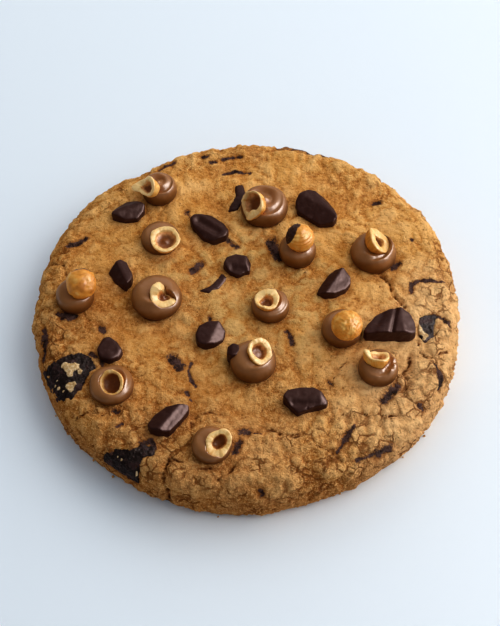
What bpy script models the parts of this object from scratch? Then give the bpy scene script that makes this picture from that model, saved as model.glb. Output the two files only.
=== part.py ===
"""A giant chocolate chip cookie topped with piped chocolate-hazelnut spread.

Thirteen dollops of spread each carry a hazelnut, with chopped dark chocolate
pressed in between them and more of it baked into the dough. Sizes and places
are in millimetres, and every mesh is scaled to metres when its object is made.
+Z is up. The origin is on the flat base, under the middle of the cookie.
"""
import math
from collections import namedtuple

import bmesh
import bpy
from mathutils import Matrix, Vector, noise

MM = 0.001
GAP = 0.3

# The dough: a thick round disc, domed a little, with a rolled shoulder and foot
RADIUS = 99.8
EDGE_HEIGHT = 25.2
DOME = 1.6
SHOULDER_WIDTH = 11.5
SHOULDER_HEIGHT = 12.0
FOOT_HEIGHT = 5.0
FOOT_WIDTH = 2.3
FOOT_SWING = 1.2
FOOT_WIDEST_AT = math.radians(-60)
CORE_RADIUS = RADIUS - SHOULDER_WIDTH

# Waves of the outline: count round the edge, depth, and the angle of a crest
OUTLINE_WAVES = ((2, 1.0, 57), (3, 0.45, 144), (4, 0.5, -125), (6, 0.45, 162))
# Torn places at the edge: angle, half width in degrees, and depth
EDGE_DENTS = ((123, 4.0, 2.0), (98, 3.0, 1.2), (70, 5.0, 1.4), (-168, 5.0, 1.0))
# Swells and hollows of the top: place, spread and rise
SWELLS = (
    (3, -84, 13, 1.5),
    (-14, 56, 7, -1.6),
    (-36, -88, 9, 1.0),
    (76, 40, 16, 0.9),
    (-72, 40, 14, 0.8),
    (20, 76, 12, 0.9),
    (70, -38, 8, -1.0),
)
LUMP_SIZE, LUMP_HEIGHT = 24.0, 1.1
RIPPLE_SIZE, RIPPLE_HEIGHT = 10.0, 0.7

# Rings of faces from the middle of the top down to the foot
TOP_RINGS = 13
SHOULDER_RINGS = 4
WALL_RINGS = 1
FOOT_RINGS = 2
RINGS = TOP_RINGS + SHOULDER_RINGS + WALL_RINGS + FOOT_RINGS

# A dollop of spread and the hazelnut on it. The nut's place is its middle, or
# the middle of its rim where it is a half, with its height over the dough. It
# leans by `tilt` towards `facing`, and its rim rises by `lift` at `lift_at`.
Dollop = namedtuple("Dollop", "x y radius height swirl")
Nut = namedtuple("Nut", "x y z breadth whole tilt facing lift lift_at")
TOPPINGS = (
    (Dollop(-43.0, 61.5, 8.5, 9.0, 1.6), Nut(-50.5, 59.5, 8.0, 12.5, False, 28, 195, 3.5, 20)),
    (Dollop(-41.5, 32.5, 9.2, 6.5, 0.0), Nut(-39.0, 29.5, 6.5, 14.4, False, 4, -90, 0.0, 0)),
    (Dollop(-80.0, -0.5, 8.8, 9.0, 0.0), Nut(-76.0, 0.0, 12.0, 13.6, True, 30, 20, 0.0, 0)),
    (Dollop(-42.0, -2.0, 11.6, 8.0, 0.0), Nut(-38.5, -3.0, 7.5, 13.0, False, 10, -60, 3.5, 135)),
    (Dollop(-60.5, -48.0, 10.0, 6.5, 0.0), Nut(-61.0, -48.5, 6.0, 13.0, False, 28, 225, 0.8, 45)),
    (Dollop(-15.5, -78.5, 8.8, 7.0, 0.0), Nut(-12.5, -80.0, 7.5, 13.6, False, 32, -85, 0.8, 60)),
    (Dollop(8.0, 51.0, 11.4, 9.0, 1.6), Nut(1.0, 48.5, 8.0, 13.6, False, 60, 200, 0.8, 90)),
    (Dollop(23.5, 24.5, 8.8, 9.0, 0.0), Nut(24.5, 25.0, 12.0, 13.0, True, 10, 140, 0.0, 0)),
    (Dollop(59.5, 24.0, 10.8, 9.0, 0.6), Nut(61.0, 26.5, 10.5, 13.6, False, 45, 10, 1.2, 100)),
    (Dollop(10.5, -6.5, 8.8, 8.0, 0.6), Nut(8.5, -6.0, 8.5, 12.6, False, 5, 80, 1.2, 40)),
    (Dollop(43.0, -19.0, 9.4, 8.0, 0.0), Nut(44.7, -23.2, 11.5, 13.8, True, 25, -60, 0.0, 0)),
    (Dollop(58.5, -40.0, 9.0, 8.5, 0.6), Nut(56.5, -39.5, 10.5, 13.0, False, 36, 90, 3.0, 180)),
    (Dollop(2.5, -37.0, 10.4, 9.0, 0.0), Nut(4.7, -35.9, 10.5, 13.4, False, 28, -30, 1.5, 130)),
)
DOLLOP_SIDES = 16
DOLLOP_SUNK = 1.6
# Side of a dollop, from its foot to its crown: share of its radius, and of its height
DOLLOP_PROFILE = ((0.93, 0.0), (1.0, 0.24), (0.97, 0.52), (0.83, 0.8), (0.58, 0.96), (0.3, 1.0))
SWIRL_DEPTH = 0.9
NUT_SIDES = 12
NUT_WALL = 0.32
HALF_NUT_DEPTH = 0.44
# How much longer than broad a whole nut is
NUT_LENGTH = 1.08

# Chopped chocolate on top: place, height over the dough, outline about the
# place, and the cuts across it. A cut starts `reach` from the place towards
# `facing`, at full height, and falls away beyond at `slope`.
Chunk = namedtuple("Chunk", "x y height outline cuts")
CHUNKS = (
    Chunk(-57.5, 49.5, 5.0,
          ((-8, -4), (-5.5, 1.5), (-1, 6.5), (3, 5.5), (8, 2), (7.5, -1.5), (4.5, -5.5), (-1.5, -6.5)),
          ((115, 38, 0.5), (-65, 22, 0.5))),
    Chunk(-18.3, 37.5, 4.5,
          ((-9.5, 5.5), (-7.5, 8), (1, 8), (7, 3.5), (9.5, -1.5), (8, -5.5), (2, -8), (-3, -5.5), (-8, 1)),
          ((50, 24, 3.0), (-130, 30, 2.5))),
    Chunk(-59.5, 10.5, 5.5,
          ((-6, 3), (0, 7.5), (3, 6), (6, -1), (5.5, -4.5), (3, -7.5), (-1.5, -4.5)),
          ((205, 50, -0.5), (25, 18, 2.0))),
    Chunk(-5.0, 16.0, 5.0,
          ((-6.5, 0), (-5, 3.5), (-0.5, 5.5), (4.5, 4.5), (6.5, 1.5), (6, -3), (0.5, -5.5), (-3.5, -3.5)),
          ((-100, 20, 0.0), (0, 45, 4.5))),
    Chunk(-62.0, -30.0, 4.0,
          ((-6, -0.5), (-3.5, 5.5), (-0.5, 6.5), (3.5, 3), (6, -1), (4.5, -4.5), (0, -6.5), (-4.5, -4.5)),
          ((-30, 40, 4.6),)),
    Chunk(-16.8, -22.5, 5.0,
          ((-7, -0.5), (-5.5, 4.5), (-1.5, 6.5), (4, 6.5), (7, 2.5), (6, -2.5), (2, -5.5), (-3, -6.5),
           (-6, -4.5)),
          ((-20, 34, 1.5), (160, 10, 0.0))),
    Chunk(-34.7, -66.0, 6.0,
          ((-9, -2.5), (-6, 2.5), (-1, 6), (9, 6.5), (9, 4), (5.5, -1), (1, -6.5), (-2.5, -7), (-7.5, -5.5)),
          ((145, 28, -0.5), (-35, 38, 1.5))),
    Chunk(33.0, 49.5, 6.5,
          ((-10, 3.5), (-8, 7.5), (-4, 9.5), (0.5, 9), (6, 5), (9, -1.5), (10, -6.5), (8, -9), (1.5, -9.5),
           (-9, -1.5)),
          ((-125, 24, -1.0), (35, 48, 4.5))),
    Chunk(40.0, 6.5, 5.5,
          ((-8, -5.5), (-6, -0.5), (-2.5, 5), (1, 7.5), (5, 7), (8, 3), (8, -0.5), (5.5, -4), (0, -7),
           (-4.5, -7.5)),
          ((150, 42, -0.5), (-30, 20, -0.5))),
    Chunk(64.5, -17.5, 8.0,
          ((-12, -4.5), (-10, -1), (-6, 4), (0, 6.5), (5.5, 7), (9.5, 5.5), (12, 1), (12, -4.5), (9, -6.5),
           (-11, -7)),
          ((140, 20, 0.0), (5, 36, 6.0))),
    Chunk(25.5, -57.5, 5.5,
          ((-10, 1.5), (-8, 4.5), (-2.5, 6), (3.5, 6), (7.5, 4), (10, 0), (9.5, -2), (4, -3), (-3.5, -6),
           (-7, -2.5)),
          ((-95, 26, 0.5), (5, 40, 7.0))),
)
CHUNK_SUNK = 2.0

# A chip of chocolate stuck to the side of the dollop nearest the front
CHIP = Chunk(-6.3, -34.0, 6.5,
             ((-3, -1.5), (-2.5, 2), (0, 3.5), (2.5, 2.5), (3, -1), (1.5, -3), (-1, -3.5)),
             ((180, 30, 0.5),))
CHIP_UP = 2.0
CHIP_DOLLOP = 12

# Chunks baked into the dough, flush with its surface: the depth of each one's
# floor under the dough's edge height, and its outline in the cookie's own frame
BAKED_IN = (
    (8.5, ((-93, -36), (-88, -34), (-82.5, -31.5), (-76, -30), (-70.5, -33), (-68, -38.5),
           (-72, -43), (-74, -49), (-79, -53.5), (-85.5, -50.5), (-90, -44))),
    (14.5, ((-68, -78), (-59, -76.5), (-51, -78.5), (-46, -76.5), (-40.5, -78), (-39.5, -82),
            (-45.5, -83.5), (-48.5, -90), (-57, -94))),
    (6.0, ((78, -19), (79, -11), (84, -9), (89, -9.5), (85.5, -15), (85, -21), (80.5, -24))),
    (5.0, ((-22, 3.5), (-17.5, 5.5), (-13.5, 10.5), (-12, 13), (-9.8, 10.5), (-13.5, 4.5), (-18, 2))),
    (5.0, ((-9.5, 50.5), (-7.5, 55.5), (-5.5, 59.5), (-6, 66), (-2.5, 67), (-1, 60.5), (-5, 51))),
)
BAKED_IN_TOP = 40.0


def clear_scene():
    for old in list(bpy.data.objects):
        bpy.data.objects.remove(old, do_unlink=True)


def material(name, colour, roughness):
    made = bpy.data.materials.new(name)
    made.use_nodes = True
    shader = made.node_tree.nodes["Principled BSDF"]
    shader.inputs["Base Color"].default_value = (*colour, 1.0)
    shader.inputs["Roughness"].default_value = roughness
    made.diffuse_color = (*colour, 1.0)
    return made


def swelling(x, y):
    """Sum of the round swells at one point of the top."""
    total = 0.0
    for centre_x, centre_y, spread, rise in SWELLS:
        distance = math.hypot(x - centre_x, y - centre_y)
        total += rise * math.exp(-((distance / spread) ** 2))
    return total


def relief(point):
    """How far the dough stands proud of its smooth form, from its lumps and hollows."""
    lumps = LUMP_HEIGHT * noise.noise(point / LUMP_SIZE)
    ripples = RIPPLE_HEIGHT * noise.noise(point / RIPPLE_SIZE + Vector((7.3, 1.9, 4.1)))
    return lumps + ripples + swelling(point.x, point.y)


def outline_radius(angle):
    radius = RADIUS
    for count, depth, crest in OUTLINE_WAVES:
        radius += depth * math.cos(count * angle - math.radians(crest))
    for middle, half_width, depth in EDGE_DENTS:
        turn = math.degrees(math.remainder(angle - math.radians(middle), math.tau))
        radius -= depth * math.exp(-((turn / half_width) ** 2))
    return radius


def foot_width(angle):
    return FOOT_WIDTH + FOOT_SWING * math.cos(angle - FOOT_WIDEST_AT)


def side_profile(ring, angle):
    """Radius and height of the smooth dough at one ring, and its outward slope."""
    if ring <= TOP_RINGS:
        radius = CORE_RADIUS * ring / TOP_RINGS
        slope = 2 * DOME * radius / CORE_RADIUS ** 2
        return radius, EDGE_HEIGHT + DOME * (1 - (radius / CORE_RADIUS) ** 2), math.atan(slope)
    ring -= TOP_RINGS
    if ring <= SHOULDER_RINGS:
        turn = math.pi / 2 * ring / SHOULDER_RINGS
        radius = CORE_RADIUS + SHOULDER_WIDTH * math.sin(turn)
        return radius, EDGE_HEIGHT - SHOULDER_HEIGHT * (1 - math.cos(turn)), turn
    ring -= SHOULDER_RINGS
    wall_top = EDGE_HEIGHT - SHOULDER_HEIGHT
    if ring <= WALL_RINGS:
        return RADIUS, wall_top + (FOOT_HEIGHT - wall_top) * ring / WALL_RINGS, math.pi / 2
    turn = math.pi / 2 * (ring - WALL_RINGS) / FOOT_RINGS
    radius = RADIUS - foot_width(angle) * (1 - math.cos(turn))
    return radius, FOOT_HEIGHT * (1 - math.sin(turn)), math.pi / 2


def dough_point(across, along):
    """Point of the dough for a place on a square sheet, each side from -1 to 1.

    The square's rings become the rings of the disc, so the faces stay even.
    """
    if abs(across) > abs(along):
        share, angle = across, math.pi / 4 * along / across
    elif along:
        share, angle = along, math.pi / 2 - math.pi / 4 * across / along
    else:
        share, angle = 0.0, 0.0
    if share < 0:
        share, angle = -share, angle + math.pi
    radius, height, slope = side_profile(share * RINGS, angle)
    radius *= outline_radius(angle) / RADIUS
    point = Vector((radius * math.cos(angle), radius * math.sin(angle), height))
    outward = Vector((math.sin(slope) * math.cos(angle), math.sin(slope) * math.sin(angle), math.cos(slope)))
    settled = min(1.0, height / FOOT_HEIGHT)
    return point + outward * relief(point) * settled


def top_height(x, y):
    """Height of the dough's top, lumps and all, at a place inside the shoulder."""
    radius = math.hypot(x, y) * RADIUS / outline_radius(math.atan2(y, x))
    if radius <= CORE_RADIUS:
        height = EDGE_HEIGHT + DOME * (1 - (radius / CORE_RADIUS) ** 2)
    else:
        sine = min(1.0, (radius - CORE_RADIUS) / SHOULDER_WIDTH)
        height = EDGE_HEIGHT - SHOULDER_HEIGHT * (1 - math.sqrt(1 - sine ** 2))
    return height + relief(Vector((x, y, height)))


def dough_mesh():
    shape = bmesh.new()
    bmesh.ops.create_grid(shape, x_segments=2 * RINGS, y_segments=2 * RINGS, size=1.0)
    for vert in shape.verts:
        vert.co = dough_point(vert.co.x, vert.co.y)
    rim = [edge for edge in shape.edges if edge.is_boundary]
    for edge in rim:
        for vert in edge.verts:
            vert.co.z = 0.0
    bmesh.ops.contextual_create(shape, geom=rim)
    bmesh.ops.recalc_face_normals(shape, faces=shape.faces)
    return shape


def middle_of(shape):
    """Middle of a mesh's box, seen from above."""
    xs = [vert.co.x for vert in shape.verts]
    ys = [vert.co.y for vert in shape.verts]
    return Vector(((min(xs) + max(xs)) / 2, (min(ys) + max(ys)) / 2, 0.0))


def spun(points, sides):
    """A closed turned body from a profile of (radius, height) points, top to bottom."""
    shape = bmesh.new()
    verts = [shape.verts.new((radius, 0.0, height)) for radius, height in points]
    edges = [shape.edges.new(pair) for pair in zip(verts, verts[1:])]
    bmesh.ops.spin(shape, geom=verts + edges, cent=(0, 0, 0), axis=(0, 0, 1),
                   angle=math.tau, steps=sides, use_merge=True)
    bmesh.ops.remove_doubles(shape, verts=shape.verts, dist=0.001)
    bmesh.ops.recalc_face_normals(shape, faces=shape.faces)
    return shape


def dollop_mesh(dollop, gap=0.0):
    """A piped button of spread; a swirl is a spiral groove round its crown."""
    foot = dollop.radius * DOLLOP_PROFILE[0][0] + gap
    points = [(0.0, dollop.height + gap)]
    for across, up in reversed(DOLLOP_PROFILE):
        points.append((across * dollop.radius + gap, up * dollop.height))
    points += [(foot, -DOLLOP_SUNK - gap), (0.0, -DOLLOP_SUNK - gap)]
    shape = spun(points, DOLLOP_SIDES)
    if not dollop.swirl:
        return shape
    for vert in shape.verts:
        across = math.hypot(vert.co.x, vert.co.y) / dollop.radius
        if vert.co.z > 0.9 * dollop.height:
            turn = math.atan2(vert.co.y, vert.co.x) / math.tau
            wave = math.cos(math.tau * (dollop.swirl * across - turn))
            vert.co.z += SWIRL_DEPTH * 0.5 * (wave - 1.0) * min(1.0, 3 * across)
    return shape


def whole_nut_mesh(nut, grow=1.0):
    """A rounded kernel with a blunt point at one end."""
    radius = nut.breadth / 2 * grow
    length = radius * NUT_LENGTH
    points = [(0.0, length * 1.06), (0.4 * radius, 0.9 * length), (0.8 * radius, 0.55 * length),
              (radius, 0.0), (0.84 * radius, -0.55 * length), (0.5 * radius, -0.87 * length),
              (0.0, -length)]
    return spun(points, NUT_SIDES)


def half_nut_mesh(nut):
    """A kernel split in two: a small bowl, its rim higher where it broke unevenly."""
    radius = nut.breadth / 2
    depth = nut.breadth * HALF_NUT_DEPTH
    hollow = radius * (1 - NUT_WALL)
    points = [(0.0, -0.45 * depth), (0.6 * hollow, -0.34 * depth), (hollow, 0.0),
              (0.96 * radius, 0.05 * depth), (0.98 * radius, -0.25 * depth),
              (0.8 * radius, -0.62 * depth), (0.45 * radius, -0.9 * depth), (0.0, -depth)]
    shape = spun(points, NUT_SIDES)
    for vert in shape.verts:
        across = math.hypot(vert.co.x, vert.co.y) / radius
        turn = math.atan2(vert.co.y, vert.co.x) - math.radians(nut.lift_at - nut.facing)
        if vert.co.z > -0.1 * depth and across > 0.5:
            vert.co.z += nut.lift * max(0.0, math.cos(turn)) ** 3
    return shape


def half_nut_seat(nut):
    """The room that a half nut takes in its dollop, open above its rim."""
    radius = nut.breadth / 2 + GAP
    depth = nut.breadth * HALF_NUT_DEPTH + GAP
    points = [(0.0, nut.breadth), (radius * 1.04, nut.breadth), (radius, -0.2 * depth),
              (0.84 * radius, -0.62 * depth), (0.48 * radius, -0.91 * depth), (0.0, -depth)]
    return spun(points, NUT_SIDES)


def grown(outline, gap):
    """An outline moved outwards by a gap, its corners kept sharp."""
    corners = [Vector(corner) for corner in outline]
    area = sum(a.x * b.y - b.x * a.y for a, b in zip(corners, corners[1:] + corners[:1]))
    side = 1 if area > 0 else -1
    moved = []
    for before, here, after in zip(corners[-1:] + corners[:-1], corners, corners[1:] + corners[:1]):
        first = (here - before).normalized()
        second = (after - here).normalized()
        normals = [Vector((side * way.y, -side * way.x)) for way in (first, second)]
        bisector = (normals[0] + normals[1]).normalized()
        moved.append(here + bisector * gap / max(0.5, bisector.dot(normals[0])))
    return moved


def prism(outline, bottom, top):
    shape = bmesh.new()
    base = shape.faces.new([shape.verts.new((x, y, bottom)) for x, y in outline])
    raised = bmesh.ops.extrude_face_region(shape, geom=[base])["geom"]
    corners = [item for item in raised if isinstance(item, bmesh.types.BMVert)]
    bmesh.ops.translate(shape, verts=corners, vec=(0, 0, top - bottom))
    bmesh.ops.recalc_face_normals(shape, faces=shape.faces)
    return shape


def chunk_mesh(chunk, gap=0.0):
    """A chopped block: an outline raised to its height, with its cuts taken off."""
    shape = prism(grown(chunk.outline, gap), -CHUNK_SUNK - gap, chunk.height + gap)
    for facing, slope, reach in chunk.cuts:
        turn, fall = math.radians(facing), math.radians(slope)
        towards = Vector((math.cos(turn), math.sin(turn), 0.0))
        normal = towards * math.sin(fall) + Vector((0, 0, math.cos(fall)))
        start = towards * reach + Vector((0, 0, chunk.height)) + normal * gap
        everything = shape.verts[:] + shape.edges[:] + shape.faces[:]
        cut = bmesh.ops.bisect_plane(shape, geom=everything, plane_co=start, plane_no=normal,
                                     dist=0.001, clear_outer=True)["geom_cut"]
        edges = [item for item in cut if isinstance(item, bmesh.types.BMEdge)]
        bmesh.ops.contextual_create(shape, geom=edges)
    bmesh.ops.recalc_face_normals(shape, faces=shape.faces)
    return shape


def add_object(name, shape, look, place=(0, 0, 0), turn=None, parent=None):
    """Make an object of a mesh in millimetres, at a place in millimetres."""
    bmesh.ops.scale(shape, vec=(MM, MM, MM), verts=shape.verts)
    mesh = bpy.data.meshes.new(name)
    shape.to_mesh(mesh)
    shape.free()
    mesh.materials.append(look)
    made = bpy.data.objects.new(name, mesh)
    made.location = Vector(place) * MM
    if turn:
        made.rotation_euler = turn.to_euler()
    made.parent = parent
    bpy.context.scene.collection.objects.link(made)
    return made


def add_guide(name, shape, look, place=(0, 0, 0), turn=None, parent=None):
    """A hidden shape that only cuts its neighbours."""
    guide = add_object(name, shape, look, place, turn, parent)
    guide.hide_render = True
    guide.display_type = "WIRE"
    return guide


def smooth(thing, sharp_from=40):
    thing.data.shade_smooth()
    thing.data.set_sharp_from_angle(angle=math.radians(sharp_from))


def cut_with(thing, cutter, operation="DIFFERENCE"):
    boolean = thing.modifiers.new("cut by " + cutter.name, "BOOLEAN")
    boolean.operation = operation
    boolean.solver = "EXACT"
    boolean.object = cutter


def nut_lean(nut):
    """The turn that leans a nut by its tilt towards the way it faces."""
    spin = Matrix.Rotation(math.radians(nut.facing), 3, "Z")
    return spin @ Matrix.Rotation(math.radians(nut.tilt), 3, "Y")


def add_topping(number, dollop, nut, looks, parent):
    """A dollop with its hazelnut; returns the shapes that press into the dough."""
    seat = (dollop.x, dollop.y, top_height(dollop.x, dollop.y))
    spread = add_object(f"spread_dollop_{number:02}", dollop_mesh(dollop), looks["spread"], seat,
                        parent=parent)
    smooth(spread)
    place = (nut.x, nut.y, top_height(nut.x, nut.y) + nut.z)
    lean = nut_lean(nut)
    if nut.whole:
        kernel, room = whole_nut_mesh(nut), whole_nut_mesh(nut, 1 + 2 * GAP / nut.breadth)
    else:
        kernel, room = half_nut_mesh(nut), half_nut_seat(nut)
    smooth(add_object(f"hazelnut_{number:02}", kernel, looks["hazelnut"], place, lean, parent))
    room = add_guide(f"room_for_hazelnut_{number:02}", room, looks["spread"], place, lean, parent)
    cut_with(spread, room)
    room_below = add_guide(f"room_for_dollop_{number:02}", dollop_mesh(dollop, GAP), looks["dough"],
                           seat, parent=parent)
    return spread, [room, room_below]


def add_chunk(name, chunk, looks, parent, up=0.0):
    place = (chunk.x, chunk.y, top_height(chunk.x, chunk.y) + up)
    add_object(name, chunk_mesh(chunk), looks["chocolate"], place, parent=parent)
    return add_guide("room_for_" + name, chunk_mesh(chunk, GAP), looks["dough"], place, parent=parent)


def add_baked_in(number, depth, outline, body, looks, parent):
    """A chunk inside the dough, whose top is the dough's own surface."""
    bottom = EDGE_HEIGHT - depth
    piece = add_object(f"baked_in_chunk_{number}", prism(outline, bottom, BAKED_IN_TOP),
                       looks["chocolate"], parent=parent)
    cut_with(piece, body, "INTERSECT")
    return add_guide(f"room_for_baked_in_chunk_{number}",
                     prism(grown(outline, GAP), bottom - GAP, BAKED_IN_TOP + GAP), looks["dough"],
                     parent=parent)


def build():
    clear_scene()
    looks = {
        "dough": material("baked_dough", (0.52, 0.27, 0.09), 0.75),
        "spread": material("chocolate_spread", (0.16, 0.075, 0.045), 0.3),
        "hazelnut": material("roasted_hazelnut", (0.66, 0.38, 0.13), 0.5),
        "chocolate": material("dark_chocolate", (0.035, 0.02, 0.018), 0.35),
    }
    middle = middle_of(dough_mesh())
    frame = bpy.data.objects.new("cookie_frame", None)
    frame.location = -middle * MM
    bpy.context.scene.collection.objects.link(frame)

    cookie = add_object("cookie", dough_mesh(), looks["dough"], parent=frame)
    smooth(cookie)
    body = add_guide("whole_dough", dough_mesh(), looks["dough"], parent=frame)

    rooms = []
    spreads = []
    for number, (dollop, nut) in enumerate(TOPPINGS, start=1):
        spread, pressed = add_topping(number, dollop, nut, looks, frame)
        spreads.append(spread)
        rooms += pressed
    for number, chunk in enumerate(CHUNKS, start=1):
        rooms.append(add_chunk(f"chocolate_chunk_{number:02}", chunk, looks, frame))
    chip_room = add_chunk("chocolate_chip", CHIP, looks, frame, CHIP_UP)
    cut_with(spreads[CHIP_DOLLOP], chip_room)
    rooms.append(chip_room)
    for number, (depth, outline) in enumerate(BAKED_IN, start=1):
        rooms.append(add_baked_in(number, depth, outline, body, looks, frame))
    for room in rooms:
        cut_with(cookie, room)


build()
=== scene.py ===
import math
import random

import bmesh
import bpy
import numpy as np
from mathutils import Matrix, Vector, noise
from mathutils.bvhtree import BVHTree


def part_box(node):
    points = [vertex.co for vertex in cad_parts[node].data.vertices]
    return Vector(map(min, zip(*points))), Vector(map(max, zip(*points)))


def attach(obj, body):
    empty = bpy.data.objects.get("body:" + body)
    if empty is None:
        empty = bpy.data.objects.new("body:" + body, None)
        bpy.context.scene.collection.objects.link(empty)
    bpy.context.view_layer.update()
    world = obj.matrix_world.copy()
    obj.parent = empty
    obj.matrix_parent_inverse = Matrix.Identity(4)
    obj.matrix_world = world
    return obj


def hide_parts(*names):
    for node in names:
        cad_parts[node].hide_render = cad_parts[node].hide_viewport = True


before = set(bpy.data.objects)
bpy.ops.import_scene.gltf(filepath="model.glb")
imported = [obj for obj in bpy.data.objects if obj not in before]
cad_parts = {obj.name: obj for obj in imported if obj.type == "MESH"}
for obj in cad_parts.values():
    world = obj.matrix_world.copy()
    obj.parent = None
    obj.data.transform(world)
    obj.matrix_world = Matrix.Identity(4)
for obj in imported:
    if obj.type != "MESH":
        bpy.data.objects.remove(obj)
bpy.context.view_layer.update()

# The setting
# The cookie lies on a pale table beside a wide window on its right. The camera
# looks down on it from the front, a little over two feet away.
MM = 0.001
VIEW_ELEVATION = math.radians(56.3)
VIEW_DISTANCE = 672
NEAREST_SEEN = 0.01
SENSOR = 36.0
# In the photo's pixels: the focal length, the height of the picture, and how far
# the cookie's middle stands right of the picture's middle and below it
FOCAL_PIXELS = 1400
PHOTO_HEIGHT = 626
COOKIE_RIGHT, COOKIE_BELOW = -2.4, 15
TABLE_SIZE = 3.0
TABLE_COLOUR = (0.84, 0.88, 0.90, 1.0)
TABLE_ROUGHNESS = 0.55
ROOM_COLOUR = (0.80, 0.88, 1.0, 1.0)
ROOM_LIGHT, ROOM_MIRRORED = 0.36, 0.05

# The dough's own sizes are given about a middle that stands beside the frame's
# origin by the difference of these two places of the third dollop
DOLLOP_OWN_PLACE = Vector((-80.0, -0.5))
low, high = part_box("spread_dollop_03")
own_middle = ((low + high) / 2 / MM).xy - DOLLOP_OWN_PLACE


def link(name, mesh):
    made = bpy.data.objects.new(name, mesh)
    bpy.context.scene.collection.objects.link(made)
    return made


def area_light(name, place, aim, size, power, colour):
    light = bpy.data.lights.new(name, "AREA")
    light.shape = "RECTANGLE"
    light.size, light.size_y = size
    light.energy = power
    light.color = colour
    lamp = link(name, light)
    lamp.location = place
    lamp.rotation_euler = (Vector(aim) - Vector(place)).to_track_quat("-Z", "Y").to_euler()
    return lamp


camera = bpy.data.cameras.new("camera")
camera.lens = FOCAL_PIXELS / PHOTO_HEIGHT * SENSOR
camera.sensor_width = SENSOR
camera.clip_start = NEAREST_SEEN
viewer = link("camera", camera)
back = Vector((0, -math.cos(VIEW_ELEVATION), math.sin(VIEW_ELEVATION)))
up = Vector((0, math.sin(VIEW_ELEVATION), math.cos(VIEW_ELEVATION)))
right = Vector((1, 0, 0))
eye = back * VIEW_DISTANCE + (up * COOKIE_BELOW - right * COOKIE_RIGHT) * VIEW_DISTANCE / FOCAL_PIXELS
viewer.location = (eye + own_middle.to_3d()) * MM
viewer.rotation_euler = (math.pi / 2 - VIEW_ELEVATION, 0, 0)
bpy.context.scene.camera = viewer
bpy.context.scene.view_settings.view_transform = "Standard"
bpy.context.scene.view_settings.look = "High Contrast"

shape = bmesh.new()
bmesh.ops.create_grid(shape, x_segments=1, y_segments=1, size=TABLE_SIZE)
table_mesh = bpy.data.meshes.new("table_top")
shape.to_mesh(table_mesh)
shape.free()
table_look = bpy.data.materials.new("painted_table")
table_look.use_nodes = True
table_paint = table_look.node_tree.nodes["Principled BSDF"].inputs
table_paint["Base Color"].default_value = TABLE_COLOUR
table_paint["Roughness"].default_value = TABLE_ROUGHNESS
table_mesh.materials.append(table_look)
table = link("table_top", table_mesh)

# The pane is the bright part of the window that shiny faces mirror
area_light("window", place=(1.12, 0.22, 0.92), aim=(0, 0, 0), size=(1.5, 1.8),
           power=12.8, colour=(1.0, 0.985, 0.96))
area_light("back_window", place=(0.1, 1.2, 0.9), aim=(0, 0.1, 0), size=(1.6, 0.9),
           power=4.2, colour=(0.92, 0.96, 1.0))
pane = area_light("window_pane", place=(1.1, -0.02, 0.70), aim=(0, 0, 0), size=(1.0, 1.2),
                  power=52.0, colour=(1.0, 0.95, 0.93))
pane.visible_diffuse = False

# The room behind the viewer is dim, so shiny faces mirror much less light from
# there than falls on the table
room = bpy.data.worlds.new("room")
bpy.context.scene.world = room
room.use_nodes = True
room_glow = room.node_tree.nodes["Background"]
room_glow.inputs["Color"].default_value = ROOM_COLOUR
ray = room.node_tree.nodes.new("ShaderNodeLightPath")
dim = room.node_tree.nodes.new("ShaderNodeMapRange")
dim.inputs["To Min"].default_value = ROOM_LIGHT
dim.inputs["To Max"].default_value = ROOM_MIRRORED
room.node_tree.links.new(ray.outputs["Is Glossy Ray"], dim.inputs["Value"])
room.node_tree.links.new(dim.outputs["Result"], room_glow.inputs["Strength"])

# The dough
# One thick round of cookie dough, pressed into a tin and baked until its top
# turned golden and cracked towards the edge. The same waves, lumps and ripples
# shape its solid; finer crust, cracks and the crumbly side are added here.
RADIUS = 99.8
EDGE_HEIGHT = 25.2
DOME = 1.6
SHOULDER_WIDTH, SHOULDER_HEIGHT = 11.5, 12.0
FOOT_HEIGHT, FOOT_WIDTH, FOOT_SWING = 5.0, 2.3, 1.2
FOOT_WIDEST_AT = math.radians(-60)
CORE_RADIUS = RADIUS - SHOULDER_WIDTH
OUTLINE_WAVES = ((2, 1.0, 57), (3, 0.45, 144), (4, 0.5, -125), (6, 0.45, 162))
EDGE_DENTS = ((123, 4.0, 2.0), (98, 3.0, 1.2), (70, 5.0, 1.4), (-168, 5.0, 1.0))
# Broad swellings and hollows of the top: place, spread, height
SWELLS = (
    (3, -84, 13, 1.5),
    (-14, 56, 7, -1.6),
    (-36, -88, 9, 1.0),
    (76, 40, 16, 0.9),
    (-72, 40, 14, 0.8),
    (20, 76, 12, 0.9),
    (70, -38, 8, -1.0),
)
# Small puffs of dough between the cracks, most of them near the rim: place,
# spread, height
PUFFS = (
    (-28, -91, 4.2, 1.3), (-40.5, -86.5, 3.0, 0.9), (-19, -93, 4.0, 0.7), (14, -92, 6.0, 0.8),
    (-66, -66, 6.0, 0.6), (-13, -84, 5.0, 0.6), (79, -38, 4.0, 0.8), (66, -33, 4.0, 0.6),
    (-13, 60, 3.0, 0.7), (-32, 64, 5.0, 0.7), (-20, 66, 4.0, 0.5), (84, 3, 5.0, 0.6),
    (61, 4, 5.0, 0.6), (-31, -90.5, 3.4, 1.1), (-15, -94, 3.2, 1.0), (-23, -95.5, 2.6, 0.8),
    (-41, -84, 3.6, 1.0), (-50, -78, 3.0, 0.8), (19, 93, 2.2, 1.1), (25, 91.5, 1.8, 0.9),
    (13, 95, 1.4, 0.9), (36, 89, 2.6, 0.8), (-4, 96, 2.0, 0.7),
)
LUMP_SIZE, LUMP_HEIGHT = 24.0, 1.1
RIPPLE_SIZE, RIPPLE_HEIGHT = 10.0, 0.7
RIPPLE_START = Vector((7.3, 1.9, 4.1))
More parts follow.
